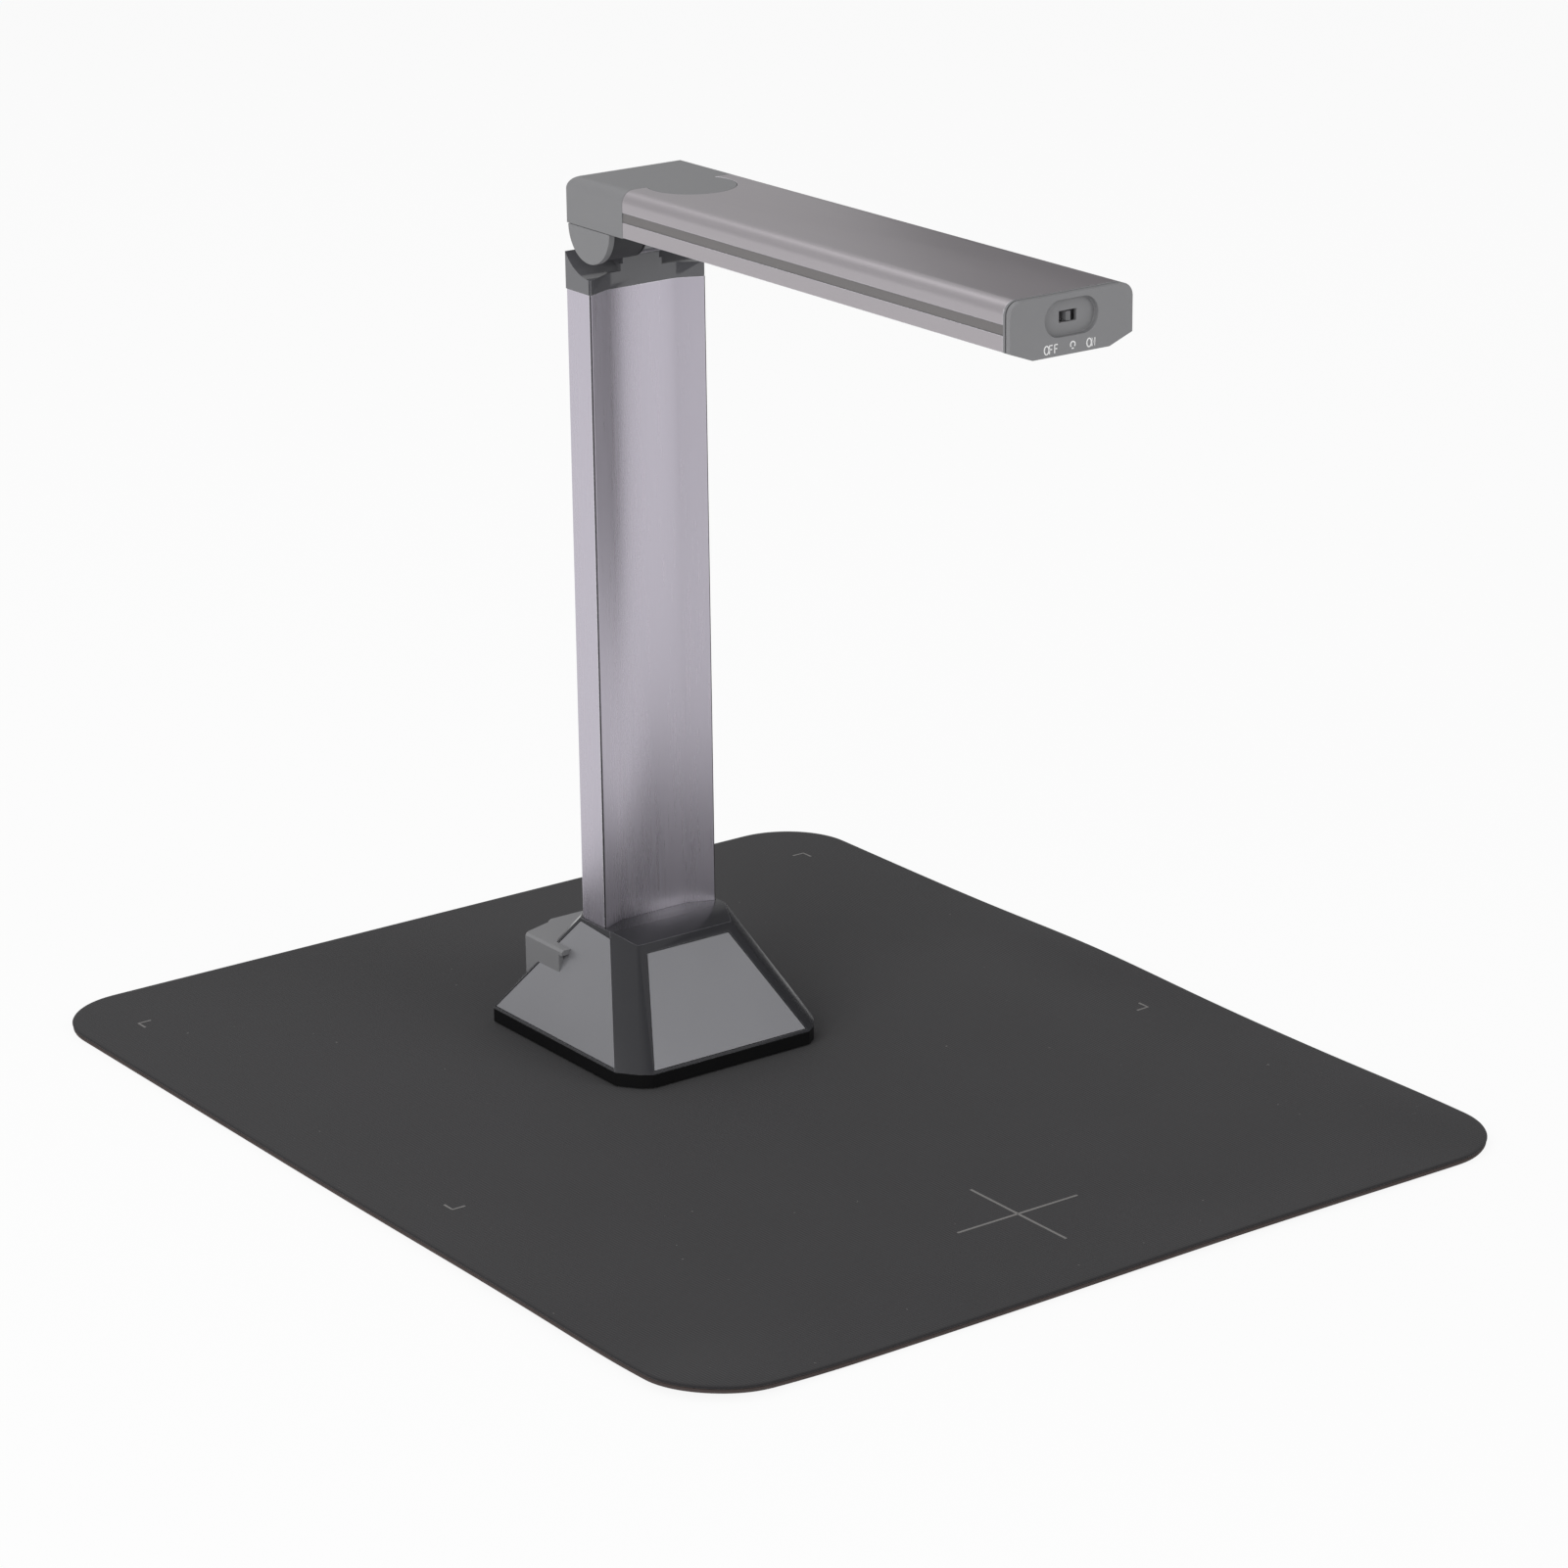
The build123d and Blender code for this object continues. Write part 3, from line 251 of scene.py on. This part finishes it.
def finish(name, colour, rough, metal=0.0, grain=900.0, stretch=(1, 1, 1), bump=0.05,
           drift=0.06, rough_drift=0.06, coat=0.0, specular=0.5):
    """Noise in object coordinates drives colour, roughness and bump around their base values."""
    material = bpy.data.materials.new(name)
    material.use_nodes = True
    tree = material.node_tree
    shader = tree.nodes["Principled BSDF"]
    shader.inputs["Metallic"].default_value = metal
    shader.inputs["Coat Weight"].default_value = coat
    shader.inputs["Coat Roughness"].default_value = COAT_ROUGHNESS
    shader.inputs["Specular IOR Level"].default_value = specular
    place = add_node(tree, "ShaderNodeTexCoord")
    mapping = add_node(tree, "ShaderNodeMapping")
    mapping.inputs["Scale"].default_value = stretch
    tree.links.new(place.outputs["Object"], mapping.inputs["Vector"])
    fine = add_node(tree, "ShaderNodeTexNoise")
    fine.inputs["Scale"].default_value = grain
    fine.inputs["Detail"].default_value = 3.0
    wide = add_node(tree, "ShaderNodeTexNoise")
    wide.inputs["Scale"].default_value = WIDE_SCALE
    wide.inputs["Detail"].default_value = 4.0
    for texture in (fine, wide):
        tree.links.new(mapping.outputs["Vector"], texture.inputs["Vector"])
    base = np.array(colour[:3])
    ramp = add_node(tree, "ShaderNodeValToRGB")
    ramp.color_ramp.elements[0].position = NOISE_LOW
    ramp.color_ramp.elements[1].position = NOISE_HIGH
    ramp.color_ramp.elements[0].color = (*(base * (1 - drift)).tolist(), 1)
    ramp.color_ramp.elements[1].color = (*np.minimum(base * (1 + drift), 1).tolist(), 1)
    blend = add_node(tree, "ShaderNodeMath", operation="MULTIPLY_ADD")
    blend.inputs[1].default_value = FINE_SHARE
    tree.links.new(fine.outputs["Fac"], blend.inputs[0])
    scaled = add_node(tree, "ShaderNodeMath", operation="MULTIPLY")
    scaled.inputs[1].default_value = WIDE_SHARE
    tree.links.new(wide.outputs["Fac"], scaled.inputs[0])
    tree.links.new(scaled.outputs[0], blend.inputs[2])
    tree.links.new(blend.outputs[0], ramp.inputs["Fac"])
    tree.links.new(ramp.outputs["Color"], shader.inputs["Base Color"])
    matt = add_node(tree, "ShaderNodeMapRange")
    matt.inputs["From Min"].default_value = NOISE_LOW
    matt.inputs["From Max"].default_value = NOISE_HIGH
    matt.inputs["To Min"].default_value = max(rough - rough_drift, 0.02)
    matt.inputs["To Max"].default_value = min(rough + rough_drift, 1.0)
    tree.links.new(blend.outputs[0], matt.inputs["Value"])
    tree.links.new(matt.outputs["Result"], shader.inputs["Roughness"])
    relief = add_node(tree, "ShaderNodeBump")
    relief.inputs["Strength"].default_value = bump
    relief.inputs["Distance"].default_value = GRAIN_HEIGHT
    tree.links.new(fine.outputs["Fac"], relief.inputs["Height"])
    tree.links.new(relief.outputs["Normal"], shader.inputs["Normal"])
    return material


# %% [markdown]
# The mat's cloth is a fine black weave. Two wave patterns at right angles stand for warp and
# weft, their product shapes the bump, and sparse bright noise peaks are lint on the cloth.

# %% Cloth finish
WEAVE_PITCH = 1.1 * MM
WEAVE_HEIGHT = 0.12 * MM
BANDS_PER_SCALE = 6.3 / 20
LINT_SCALE = 420.0
LINT_START, LINT_FULL = 0.76, 0.82


def woven_cloth(name, dark, light):
    """Warp and weft as crossed sine bands; their maximum is the thread height."""
    material = finish(name, dark, 0.92, grain=1500, bump=0.2, drift=0.10, rough_drift=0.05,
                      specular=0.2)
    tree = material.node_tree
    shader = tree.nodes["Principled BSDF"]
    shader.inputs["Sheen Weight"].default_value = 0.14
    shader.inputs["Sheen Roughness"].default_value = 0.5
    place = add_node(tree, "ShaderNodeTexCoord")
    bands = []
    for direction in ("X", "Y"):
        wave = add_node(tree, "ShaderNodeTexWave", bands_direction=direction)
        wave.inputs["Scale"].default_value = BANDS_PER_SCALE / WEAVE_PITCH
        wave.inputs["Distortion"].default_value = 0.8
        wave.inputs["Detail"].default_value = 1.0
        tree.links.new(place.outputs["Object"], wave.inputs["Vector"])
        bands.append(wave.outputs["Fac"])
    threads = add_node(tree, "ShaderNodeMath", operation="MAXIMUM")
    tree.links.new(bands[0], threads.inputs[0])
    tree.links.new(bands[1], threads.inputs[1])
    relief = add_node(tree, "ShaderNodeBump")
    relief.inputs["Strength"].default_value = 0.35
    relief.inputs["Distance"].default_value = WEAVE_HEIGHT
    tree.links.new(threads.outputs[0], relief.inputs["Height"])
    old = shader.inputs["Normal"].links[0].from_node
    tree.links.new(old.outputs["Normal"], relief.inputs["Normal"])
    tree.links.new(relief.outputs["Normal"], shader.inputs["Normal"])
    lint = add_node(tree, "ShaderNodeTexNoise")
    lint.inputs["Scale"].default_value = LINT_SCALE
    lint.inputs["Detail"].default_value = 2.0
    tree.links.new(place.outputs["Object"], lint.inputs["Vector"])
    peak = add_node(tree, "ShaderNodeMapRange")
    peak.inputs["From Min"].default_value = LINT_START
    peak.inputs["From Max"].default_value = LINT_FULL
    tree.links.new(lint.outputs["Fac"], peak.inputs["Value"])
    mix = add_node(tree, "ShaderNodeMix", data_type="RGBA")
    tree.links.new(peak.outputs["Result"], mix.inputs["Factor"])
    tree.links.new(shader.inputs["Base Color"].links[0].from_socket, mix.inputs[6])
    mix.inputs[7].default_value = light
    tree.links.new(mix.outputs[2], shader.inputs["Base Color"])
    return material


# %% [markdown]
# The finishes of this object: a grey-mauve anodised column and arm, a glossy dark base, satin
# panels let into it, plain grey moulded housings, steel fittings and green boards.

# %% Finishes of the object
FINISH = {
    "mat_cloth": woven_cloth("mat_cloth", linear(42, 41, 43), linear(120, 118, 116)),
    "mat_rubber": finish("mat_rubber", linear(66, 56, 54), 0.85, grain=2600, bump=0.4,
                         drift=0.14),
    "gloss_shell": finish("gloss_shell", linear(52, 52, 55), 0.18, grain=60, bump=0.02, drift=0.05,
                          rough_drift=0.03, specular=0.35),
    "black_plastic": finish("black_plastic", linear(12, 12, 13), 0.42, grain=2400, bump=0.1,
                            specular=0.25),
    "satin_panel": finish("satin_panel", linear(148, 148, 152), 0.34, metal=0.55, grain=2600,
                          bump=0.06, drift=0.04),
    "housing_grey": finish("housing_grey", linear(128, 128, 130), 0.5, grain=2600, bump=0.12,
                           drift=0.04),
    "column_anodised": finish("column_anodised", linear(192, 187, 198), 0.28, metal=0.85,
                              grain=1800, stretch=(1, 1, 0.02), bump=0.05, drift=0.03),
    "arm_anodised": finish("arm_anodised", linear(172, 167, 171), 0.38, metal=0.6, grain=1800,
                           stretch=(1, 0.02, 1), bump=0.05, drift=0.03),
    "gloss_cap": finish("gloss_cap", linear(92, 92, 96), 0.2, grain=80, bump=0.02, coat=0.5),
    "steel": finish("steel", linear(190, 190, 192), 0.3, metal=1.0, grain=1500,
                    stretch=(0.05, 1, 1), bump=0.08),
    "black_rubber": finish("black_rubber", linear(38, 38, 38), 0.8, grain=2000, bump=0.3),
    "board_green": finish("board_green", linear(30, 92, 52), 0.35, grain=1300, bump=0.1, drift=0.2),
    "cast_metal": finish("cast_metal", linear(64, 64, 67), 0.6, metal=0.3, grain=1400, bump=0.5),
    "diffuser": finish("diffuser", linear(238, 238, 232), 0.5, grain=900, bump=0.1, drift=0.02),
    "ribbon": finish("ribbon", linear(200, 200, 196), 0.45, grain=900, stretch=(20, 1, 1)),
    "knob_black": finish("knob_black", linear(120, 120, 122), 0.4, grain=2600, bump=0.1),
    "glass": finish("glass", linear(40, 44, 52), 0.04, grain=60, bump=0.0, coat=1.0),
    "ink": finish("ink", linear(232, 232, 232), 0.7, grain=3000, bump=0.2, drift=0.10),
    "mark_ink": finish("mark_ink", linear(122, 120, 119), 0.8, grain=3000, bump=0.2, drift=0.16),
    # painted highlight: a light colour on the base shell's rounded edges stands in for reflected
    # light
    "painted_highlight_edge": finish("painted_highlight_edge", linear(150, 150, 156), 0.2, grain=60, bump=0.0, coat=0.5),
    # painted shade: a darker grey laid in the arm's grooves
    "groove_painted_shade": finish("groove_painted_shade", linear(108, 105, 105), 0.45, grain=2000, bump=0.1),
    "seam_shadow": finish("seam_shadow", linear(30, 29, 31), 0.7, grain=2000, bump=0.1),
    # partly the bright cut metal of the anodised edges, partly a painted highlight on the rounded
    # strip
    "cut_metal_and_painted_highlight": finish("cut_metal_and_painted_highlight", linear(226, 224, 230), 0.25, metal=0.9, grain=600, bump=0.02),
}
print("finishes", len(FINISH))

# %% [markdown]
# CAD edges are razor sharp, and real ones never are: a thin round edge catches the light. A CAD
# mesh is loose triangles, so each visible part is copied, its doubles are merged, flat triangles
# are joined to faces, and a Bevel modifier rounds what is left. On glossy and metal parts the
# rounded strip gets its own brighter colour: on the glossy base shell this is a painted highlight,
# and on the anodised column and arm it is partly bright cut metal and partly a painted highlight.

# %% Soft edges on the visible parts
MERGE_DISTANCE = 2e-6
FLAT_ANGLE = np.radians(0.6)
EDGE_ANGLE = np.radians(28.0)
EDGE_STEPS = 2
OLD_SHADING = ("custom_normal", "sharp_face", "sharp_edge")


def soft_edged(node, width, body_finish, edge_finish):
    """Merged copy of a CAD part with its edges rounded by width in millimetres."""
    source = frame["nodes"][node]
    mesh = source.data.copy()
    mesh.name = f"{node}_soft"
    work = bmesh.new()
    work.from_mesh(mesh)
    bmesh.ops.remove_doubles(work, verts=work.verts, dist=MERGE_DISTANCE)
    bmesh.ops.dissolve_limit(work, angle_limit=FLAT_ANGLE, verts=work.verts, edges=work.edges)
    work.to_mesh(mesh)
    work.free()
    mesh.materials.clear()
    mesh.materials.append(FINISH[body_finish])
    mesh.materials.append(FINISH[edge_finish or body_finish])
    for attribute in OLD_SHADING:
        if attribute in mesh.attributes:
            mesh.attributes.remove(mesh.attributes[attribute])
    mesh.polygons.foreach_set("material_index", np.zeros(len(mesh.polygons), np.int32))
    mesh.shade_smooth()
    piece = bpy.data.objects.new(f"{node}_soft", mesh)
    scene.collection.objects.link(piece)
    bevel = piece.modifiers.new("soft_edge", "BEVEL")
    bevel.width = width * MM
    bevel.segments = EDGE_STEPS
    bevel.limit_method = "ANGLE"
    bevel.angle_limit = EDGE_ANGLE
    bevel.harden_normals = True
    bevel.use_clamp_overlap = True
    # the rounded strip takes the second finish; on the shell, column and arm that is a painted
    # highlight
    bevel.material = 1
    body = next(b for b, empty in frame["bodies"].items() if source.parent is empty)
    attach(piece, body)
    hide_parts(node)
    return piece


SOFT_PARTS = [
    ("base_shell", 0.25, "gloss_shell", "painted_highlight_edge", "gloss_shell"),
    ("base_front_panel", 0.15, "satin_panel", None, "satin_panel"),
    ("base_right_panel", 0.15, "satin_panel", None, "satin_panel"),
    ("base_left_panel", 0.15, "satin_panel", None, "satin_panel"),
    ("base_rim", 0.3, "black_plastic", None, "black_plastic"),
    ("port_housing", 0.3, "housing_grey", None, "housing_grey"),
    # the anodised parts' rounded edges get bright cut metal with a painted highlight
    ("column_front", 0.12, "column_anodised", "cut_metal_and_painted_highlight", "anodised"),
    ("column_channel", 0.12, "column_anodised", "cut_metal_and_painted_highlight", "anodised"),
    ("column_cap", 0.2, "gloss_cap", None, "gloss_cap"),
    ("head_housing", 0.2, "housing_grey", None, "housing_grey"),
    ("right_ear_cover", 0.2, "housing_grey", None, "housing_grey"),
    ("left_ear_cover", 0.2, "housing_grey", None, "housing_grey"),
    ("arm_extrusion", 0.12, "arm_anodised", "cut_metal_and_painted_highlight", "anodised"),
    ("arm_cover", 0.15, "housing_grey", None, "housing_grey"),
    ("end_collar", 0.1, "housing_grey", None, "housing_grey"),
    ("end_cap", 0.25, "housing_grey", None, "housing_grey"),
    ("switch_knob", 0.06, "knob_black", None, "knob_black"),
]
for node, width, body_finish, edge_finish, slot in SOFT_PARTS:
    soft_edged(node, width, body_finish, edge_finish)
print("soft-edged parts", len(SOFT_PARTS))

# %% [markdown]
# The other CAD parts keep their meshes and take the finish that the record names for them.

# %% Finishes on the other CAD parts
slot_of = {part["node"]: part["material_slot"] for part in frame["record"]["subparts"]}
replaced = {row[0] for row in SOFT_PARTS} | {"mat_cloth", "mat_rubber"}
for node, source in frame["nodes"].items():
    if node not in replaced:
        source.data.materials.clear()
        source.data.materials.append(FINISH[slot_of[node]])

# %% [markdown]
# Two dark details sit on the metal: a darker grey strip in the groove along each side of the arm,
# which is painted shade in the groove, and the fine dark seams where the column's front panel
# meets its channel. Each is a long rectangular bar, worked out from the parts it lies on.

# %% Painted shade in the arm grooves, and column seams
def bars(name, spans, body, finish_name):
    """Closed boxes between pairs of corners, joined in one mesh."""
    corners = np.array([(i, j, k) for i in (0, 1) for j in (0, 1) for k in (0, 1)])
    faces = np.array([(0, 1, 3, 2), (4, 6, 7, 5), (0, 4, 5, 1),
                      (2, 3, 7, 6), (0, 2, 6, 4), (1, 5, 7, 3)])
    points = [np.array(low) + corners * (np.array(high) - np.array(low)) for low, high in spans]
    all_faces = [faces + len(corners) * index for index in range(len(spans))]
    mesh = bpy.data.meshes.new(name)
    mesh.from_pydata(np.vstack(points).tolist(), [], np.vstack(all_faces).tolist())
    mesh.materials.append(FINISH[finish_name])
    piece = bpy.data.objects.new(name, mesh)
    scene.collection.objects.link(piece)
    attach(piece, body)


hinge_place = Vector(next(j["pos_m"] for j in frame["joints"] if j["name"] == "arm_fold"))
arm_low, arm_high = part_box("arm_extrusion")
GROOVE = (5.6 * MM, 8.7 * MM)
GROOVE_DEPTH = 0.6 * MM
SHADE_BAR_BELOW_FACE = 0.25 * MM
BURIED = 0.05 * MM
# each bar is painted shade: a darker grey laid in the groove's recess
groove_shade_bars = []
for side, x in ((1, arm_low.x), (-1, arm_high.x)):
    span_x = sorted((x + side * SHADE_BAR_BELOW_FACE, x + side * (GROOVE_DEPTH + BURIED)))
    groove_shade_bars.append(((span_x[0], arm_low.y, hinge_place.z + GROOVE[0]),
                   (span_x[1], arm_high.y, hinge_place.z + GROOVE[1])))
bars("arm_groove_painted_shade", groove_shade_bars, "arm", "groove_painted_shade")

column_low, column_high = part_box("column_front")
base_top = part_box("base_shell")[1].z
SEAM_HALF = 0.14 * MM
SEAM_PROUD = 0.02 * MM
SEAM_DEPTH = 0.2 * MM
SEAM_SHORT = 0.1 * MM
seams = [((x - SEAM_HALF, column_low.y - SEAM_PROUD, base_top),
          (x + SEAM_HALF, column_low.y + SEAM_DEPTH, column_high.z - SEAM_SHORT))
         for x in (column_low.x, column_high.x)]
bars("column_seams", seams, "stand", "seam_shadow")

# %% [markdown]
# The mat is a foam-backed cloth that never lies quite flat. Its outline is a rounded rectangle.
# Rings of that outline shrink towards the centre, and each point's height is the sheet's own
# thickness plus a wave that grows towards the edge and is nought under the base.

# %% The mat's surfaces
mat_low, mat_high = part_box("mat_rubber")
MAT_HALF = np.array([mat_high.x - mat_low.x, mat_high.y - mat_low.y]) / 2
MAT_CORNER = 28 * MM
CORNER_POINTS = 24
BACKING_TOP = mat_high.z
CLOTH_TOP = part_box("mat_cloth")[1].z
RING_POINTS = 720
RINGS = np.concatenate([np.linspace(0.03, 0.9, 26), np.linspace(0.92, 1.0, 12)])
EDGE_ROUND = 0.6 * MM
EDGE_SHARE = 0.45
BACKING_INSET = 0.2 * MM
# Each bump of the sheet: its centre x and y, its half width and half length, and its height.
MAT_HILLS = (
    (0.172, 0.02, 0.02, 0.055, 0.0017),
    (-0.172, -0.10, 0.03, 0.07, 0.0009),
    (-0.165, -0.2, 0.03, 0.03, 0.0019),
    (0.05, -0.21, 0.07, 0.02, 0.0008),
    (0.165, -0.16, 0.02, 0.04, 0.0007),
)


def mat_outline(count):
    """Points evenly spaced along a rectangle with quarter-circle corners."""
    straight = MAT_HALF - MAT_CORNER
    arc = np.linspace(0, np.pi / 2, CORNER_POINTS)
    corners = [(1, 1, 0), (-1, 1, np.pi / 2), (-1, -1, np.pi), (1, -1, 3 * np.pi / 2)]
    path = np.concatenate([
        np.stack([sx * straight[0] + MAT_CORNER * np.cos(arc + a),
                  sy * straight[1] + MAT_CORNER * np.sin(arc + a)], 1)
        for sx, sy, a in corners])
    closed = np.vstack([path, path[:1]])
    steps = np.linalg.norm(np.diff(closed, axis=0), axis=1)
    length = np.concatenate([[0], np.cumsum(steps)])
    wanted = np.linspace(0, length[-1], count, endpoint=False)
    return np.stack([np.interp(wanted, length, closed[:, k]) for k in (0, 1)], 1)


def mat_wave(x, y):
    """Lift of the sheet: each hill is its height times a bell curve in x and in y."""
    return sum(height * np.exp(-((x - cx) / wide) ** 2 - ((y - cy) / long) ** 2)
               for cx, cy, wide, long, height in MAT_HILLS)


def mat_layer(name, low, high, inset, finish_name):
    """Closed sheet: the outline's rings shrink to the centre above and below a rounded rim."""
    outline = mat_outline(RING_POINTS)
    edge = min((high - low) * EDGE_SHARE, EDGE_ROUND)
    turn_in = edge * 0.3
    flat_end = 1 - edge / MAT_HALF.min()
    turn_end = 1 - turn_in / MAT_HALF.min()
    profile = [(ring, high) for ring in RINGS[:-1]]
    profile += [(flat_end, high), (turn_end, high - turn_in), (1, high - edge)]
    profile += [(1, low + edge), (turn_end, low + turn_in), (flat_end, low)]
    profile += [(ring, low) for ring in RINGS[:-1][::-1]]
    share = np.array([p[0] for p in profile])
    height = np.array([p[1] for p in profile])
    xy = outline[None] * (share[:, None, None] * (1 - inset / MAT_HALF.min()))
    z = height[:, None] + mat_wave(xy[..., 0], xy[..., 1])
    points = np.concatenate([xy, z[..., None]], 2).reshape(-1, 3)
    rows, columns = len(profile), RING_POINTS
    i, j = np.meshgrid(np.arange(rows - 1), np.arange(columns), indexing="ij")
    k = (j + 1) % columns
    above, below = i * columns, (i + 1) * columns
    quads = np.stack([above + j, below + j, below + k, above + k], -1).reshape(-1, 4)
    centre_top, centre_low = len(points), len(points) + 1
    points = np.vstack([points, [0, 0, high], [0, 0, low]])
    first = np.arange(columns)
    second = (first + 1) % columns
    last = (rows - 1) * columns
    fan_top = np.stack([np.full(columns, centre_top), first, second], 1)
    fan_low = np.stack([np.full(columns, centre_low), last + second, last + first], 1)
    mesh = bpy.data.meshes.new(name)
    mesh.from_pydata(points.tolist(), [], quads.tolist() + fan_top.tolist() + fan_low.tolist())
    mesh.materials.append(FINISH[finish_name])
    mesh.shade_smooth()
    piece = bpy.data.objects.new(name, mesh)
    scene.collection.objects.link(piece)
    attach(piece, "mat")
    return piece


backing = mat_layer("mat_backing", 0.0, BACKING_TOP, BACKING_INSET, "mat_rubber")
cloth = mat_layer("mat_cloth_sheet", BACKING_TOP, CLOTH_TOP, 0.0, "mat_cloth")
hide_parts("mat_rubber")
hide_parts("mat_cloth")

# %% [markdown]
# Printed marks are ink on the cloth, so they are ribbons a few hundredths of a millimetre thick.
# A ribbon is a line of points with a width: each point moves half the width to both sides along
# the line's normal. A placing function then bends the flat ribbon onto its surface.

# %% Ink ribbons
INK_THICKNESS = 0.05 * MM


def ribbons(name, strokes, width, place, lift, body, finish_name):
    """Closed flat ribbons along strokes, each a list of flat points, put in place by a function."""
    points, faces = [], []
    for stroke, closed in strokes:
        line = np.array(stroke, float)
        ahead = np.roll(line, -1, 0) - line
        back = line - np.roll(line, 1, 0)
        if not closed:
            ahead[-1], back[0] = back[-1], ahead[0]
        ahead /= np.linalg.norm(ahead, axis=1)[:, None]
        back /= np.linalg.norm(back, axis=1)[:, None]
        along = ahead + back
        along /= np.linalg.norm(along, axis=1)[:, None]
        side = np.stack([-along[:, 1], along[:, 0]], 1) * width / 2
        start = len(points)
        for shift, height in ((1, 0), (1, 1), (-1, 1), (-1, 0)):
            points += list(place(line + shift * side, lift + height * INK_THICKNESS))
        n = len(line)
        last = n if closed else n - 1
        for ring in range(4):
            a, b = start + ring * n, start + (ring + 1) % 4 * n
            faces += [[a + i, a + (i + 1) % n, b + (i + 1) % n, b + i] for i in range(last)]
        if not closed:
            ends = [start + r * n for r in range(4)]
            faces += [ends, [e + n - 1 for e in ends[::-1]]]
    mesh = bpy.data.meshes.new(name)
    mesh.from_pydata([tuple(p) for p in points], [], faces)
    work = bmesh.new()
    work.from_mesh(mesh)
    bmesh.ops.recalc_face_normals(work, faces=work.faces)
    work.to_mesh(mesh)
    work.free()
    mesh.materials.append(FINISH[finish_name])
    piece = bpy.data.objects.new(name, mesh)
    scene.collection.objects.link(piece)
    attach(piece, body)


def on_cloth(flat, lift):
    """Flat (x, y) points laid on the wavy cloth."""
    x, y = flat[:, 0], flat[:, 1]
    return np.stack([x, y, CLOTH_TOP + mat_wave(x, y) + lift], 1)


PAGE_HALF_X = 0.1485
PAGE_NEAR_Y, PAGE_FAR_Y = -0.0355, 0.1745
BRACKET_ARM = 0.005
CROSS_CENTRE = (-0.0036, -0.1508)
CROSS_ARM = 0.025
CROSS_POINTS = 21
BRACKET_LINE = 0.9 * MM
CROSS_LINE = 1.0 * MM
PRINT_LIFT = 0.02 * MM

brackets = []
for sx in (-1, 1):
    for y, sy in ((PAGE_NEAR_Y, 1), (PAGE_FAR_Y, -1)):
        x = sx * PAGE_HALF_X
        brackets.append(([(x - sx * BRACKET_ARM, y), (x, y), (x, y + sy * BRACKET_ARM)], False))
ribbons("printed_page_corners", brackets, BRACKET_LINE, on_cloth, PRINT_LIFT,
        "mat", "mark_ink")

cross_x, cross_y = CROSS_CENTRE
cross_steps = np.linspace(-CROSS_ARM, CROSS_ARM, CROSS_POINTS)
cross = [([(cross_x + step, cross_y) for step in cross_steps], False),
         ([(cross_x, cross_y + step) for step in cross_steps], False)]
ribbons("printed_cross", cross, CROSS_LINE, on_cloth, PRINT_LIFT, "mat", "mark_ink")

# %% [markdown]
# The legend under the switch is plain and generic: the two words for the lamp switch and a small
# lamp sign. Each letter is a few strokes in a box one unit wide and high.

# %% Legend on the end cap
cap_low, cap_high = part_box("end_cap")
round_turns = np.linspace(0, 2 * np.pi, 28, endpoint=False)
ROUND = [(0.5 + 0.5 * np.cos(a), 0.5 + 0.5 * np.sin(a)) for a in round_turns]
LETTERS = {
    "O": [(ROUND, True)],
    "F": [([(0, 0), (0, 1), (0.85, 1)], False), ([(0.03, 0.52), (0.7, 0.52)], False)],
    "N": [([(0, 0), (0, 1), (0.8, 0), (0.8, 1)], False)],
}
LEGEND_LOW, LEGEND_HEIGHT = 0.2963, 0.0026
LETTER_WIDTH, LETTER_STEP = 0.0014, 0.0020
ROUND_WIDER = 1.25
OFF_X, ON_X = -0.0107, 0.0059
LEGEND_LINE = 0.4 * MM
LAMP_CENTRE, LAMP_RADIUS = (0.0004, 0.2980), 0.0009
LAMP_FOOT = ((0.0000, 0.2968), (0.0008, 0.2968))
STAND_X = (cap_low.x + cap_high.x) / 2


def word(text, x_start):
    """Strokes of a word, scaled to the legend's size."""
    made = []
    for index, letter in enumerate(text):
        for stroke, closed in LETTERS[letter]:
            wide = ROUND_WIDER if letter == "O" else 1.0
            left = x_start + index * LETTER_STEP
            made.append(([(left + px * LETTER_WIDTH * wide, LEGEND_LOW + pz * LEGEND_HEIGHT)
                          for px, pz in stroke], closed))
    return made


def on_cap(flat, lift):
    """Flat (x, z) points on the end cap's front face."""
    return np.stack([STAND_X + flat[:, 0], np.full(len(flat), cap_low.y) - lift, flat[:, 1]], 1)


lamp_turns = np.linspace(-0.25 * np.pi, 1.25 * np.pi, 20)
lamp_arc = [(LAMP_CENTRE[0] + LAMP_RADIUS * np.cos(a), LAMP_CENTRE[1] + LAMP_RADIUS * np.sin(a))
            for a in lamp_turns]
legend = word("OFF", OFF_X) + word("ON", ON_X) + [(lamp_arc, False), (LAMP_FOOT, False)]
ribbons("switch_legend", legend, LEGEND_LINE, on_cap, 0.0, "arm", "ink")
print("legend strokes", len(legend))
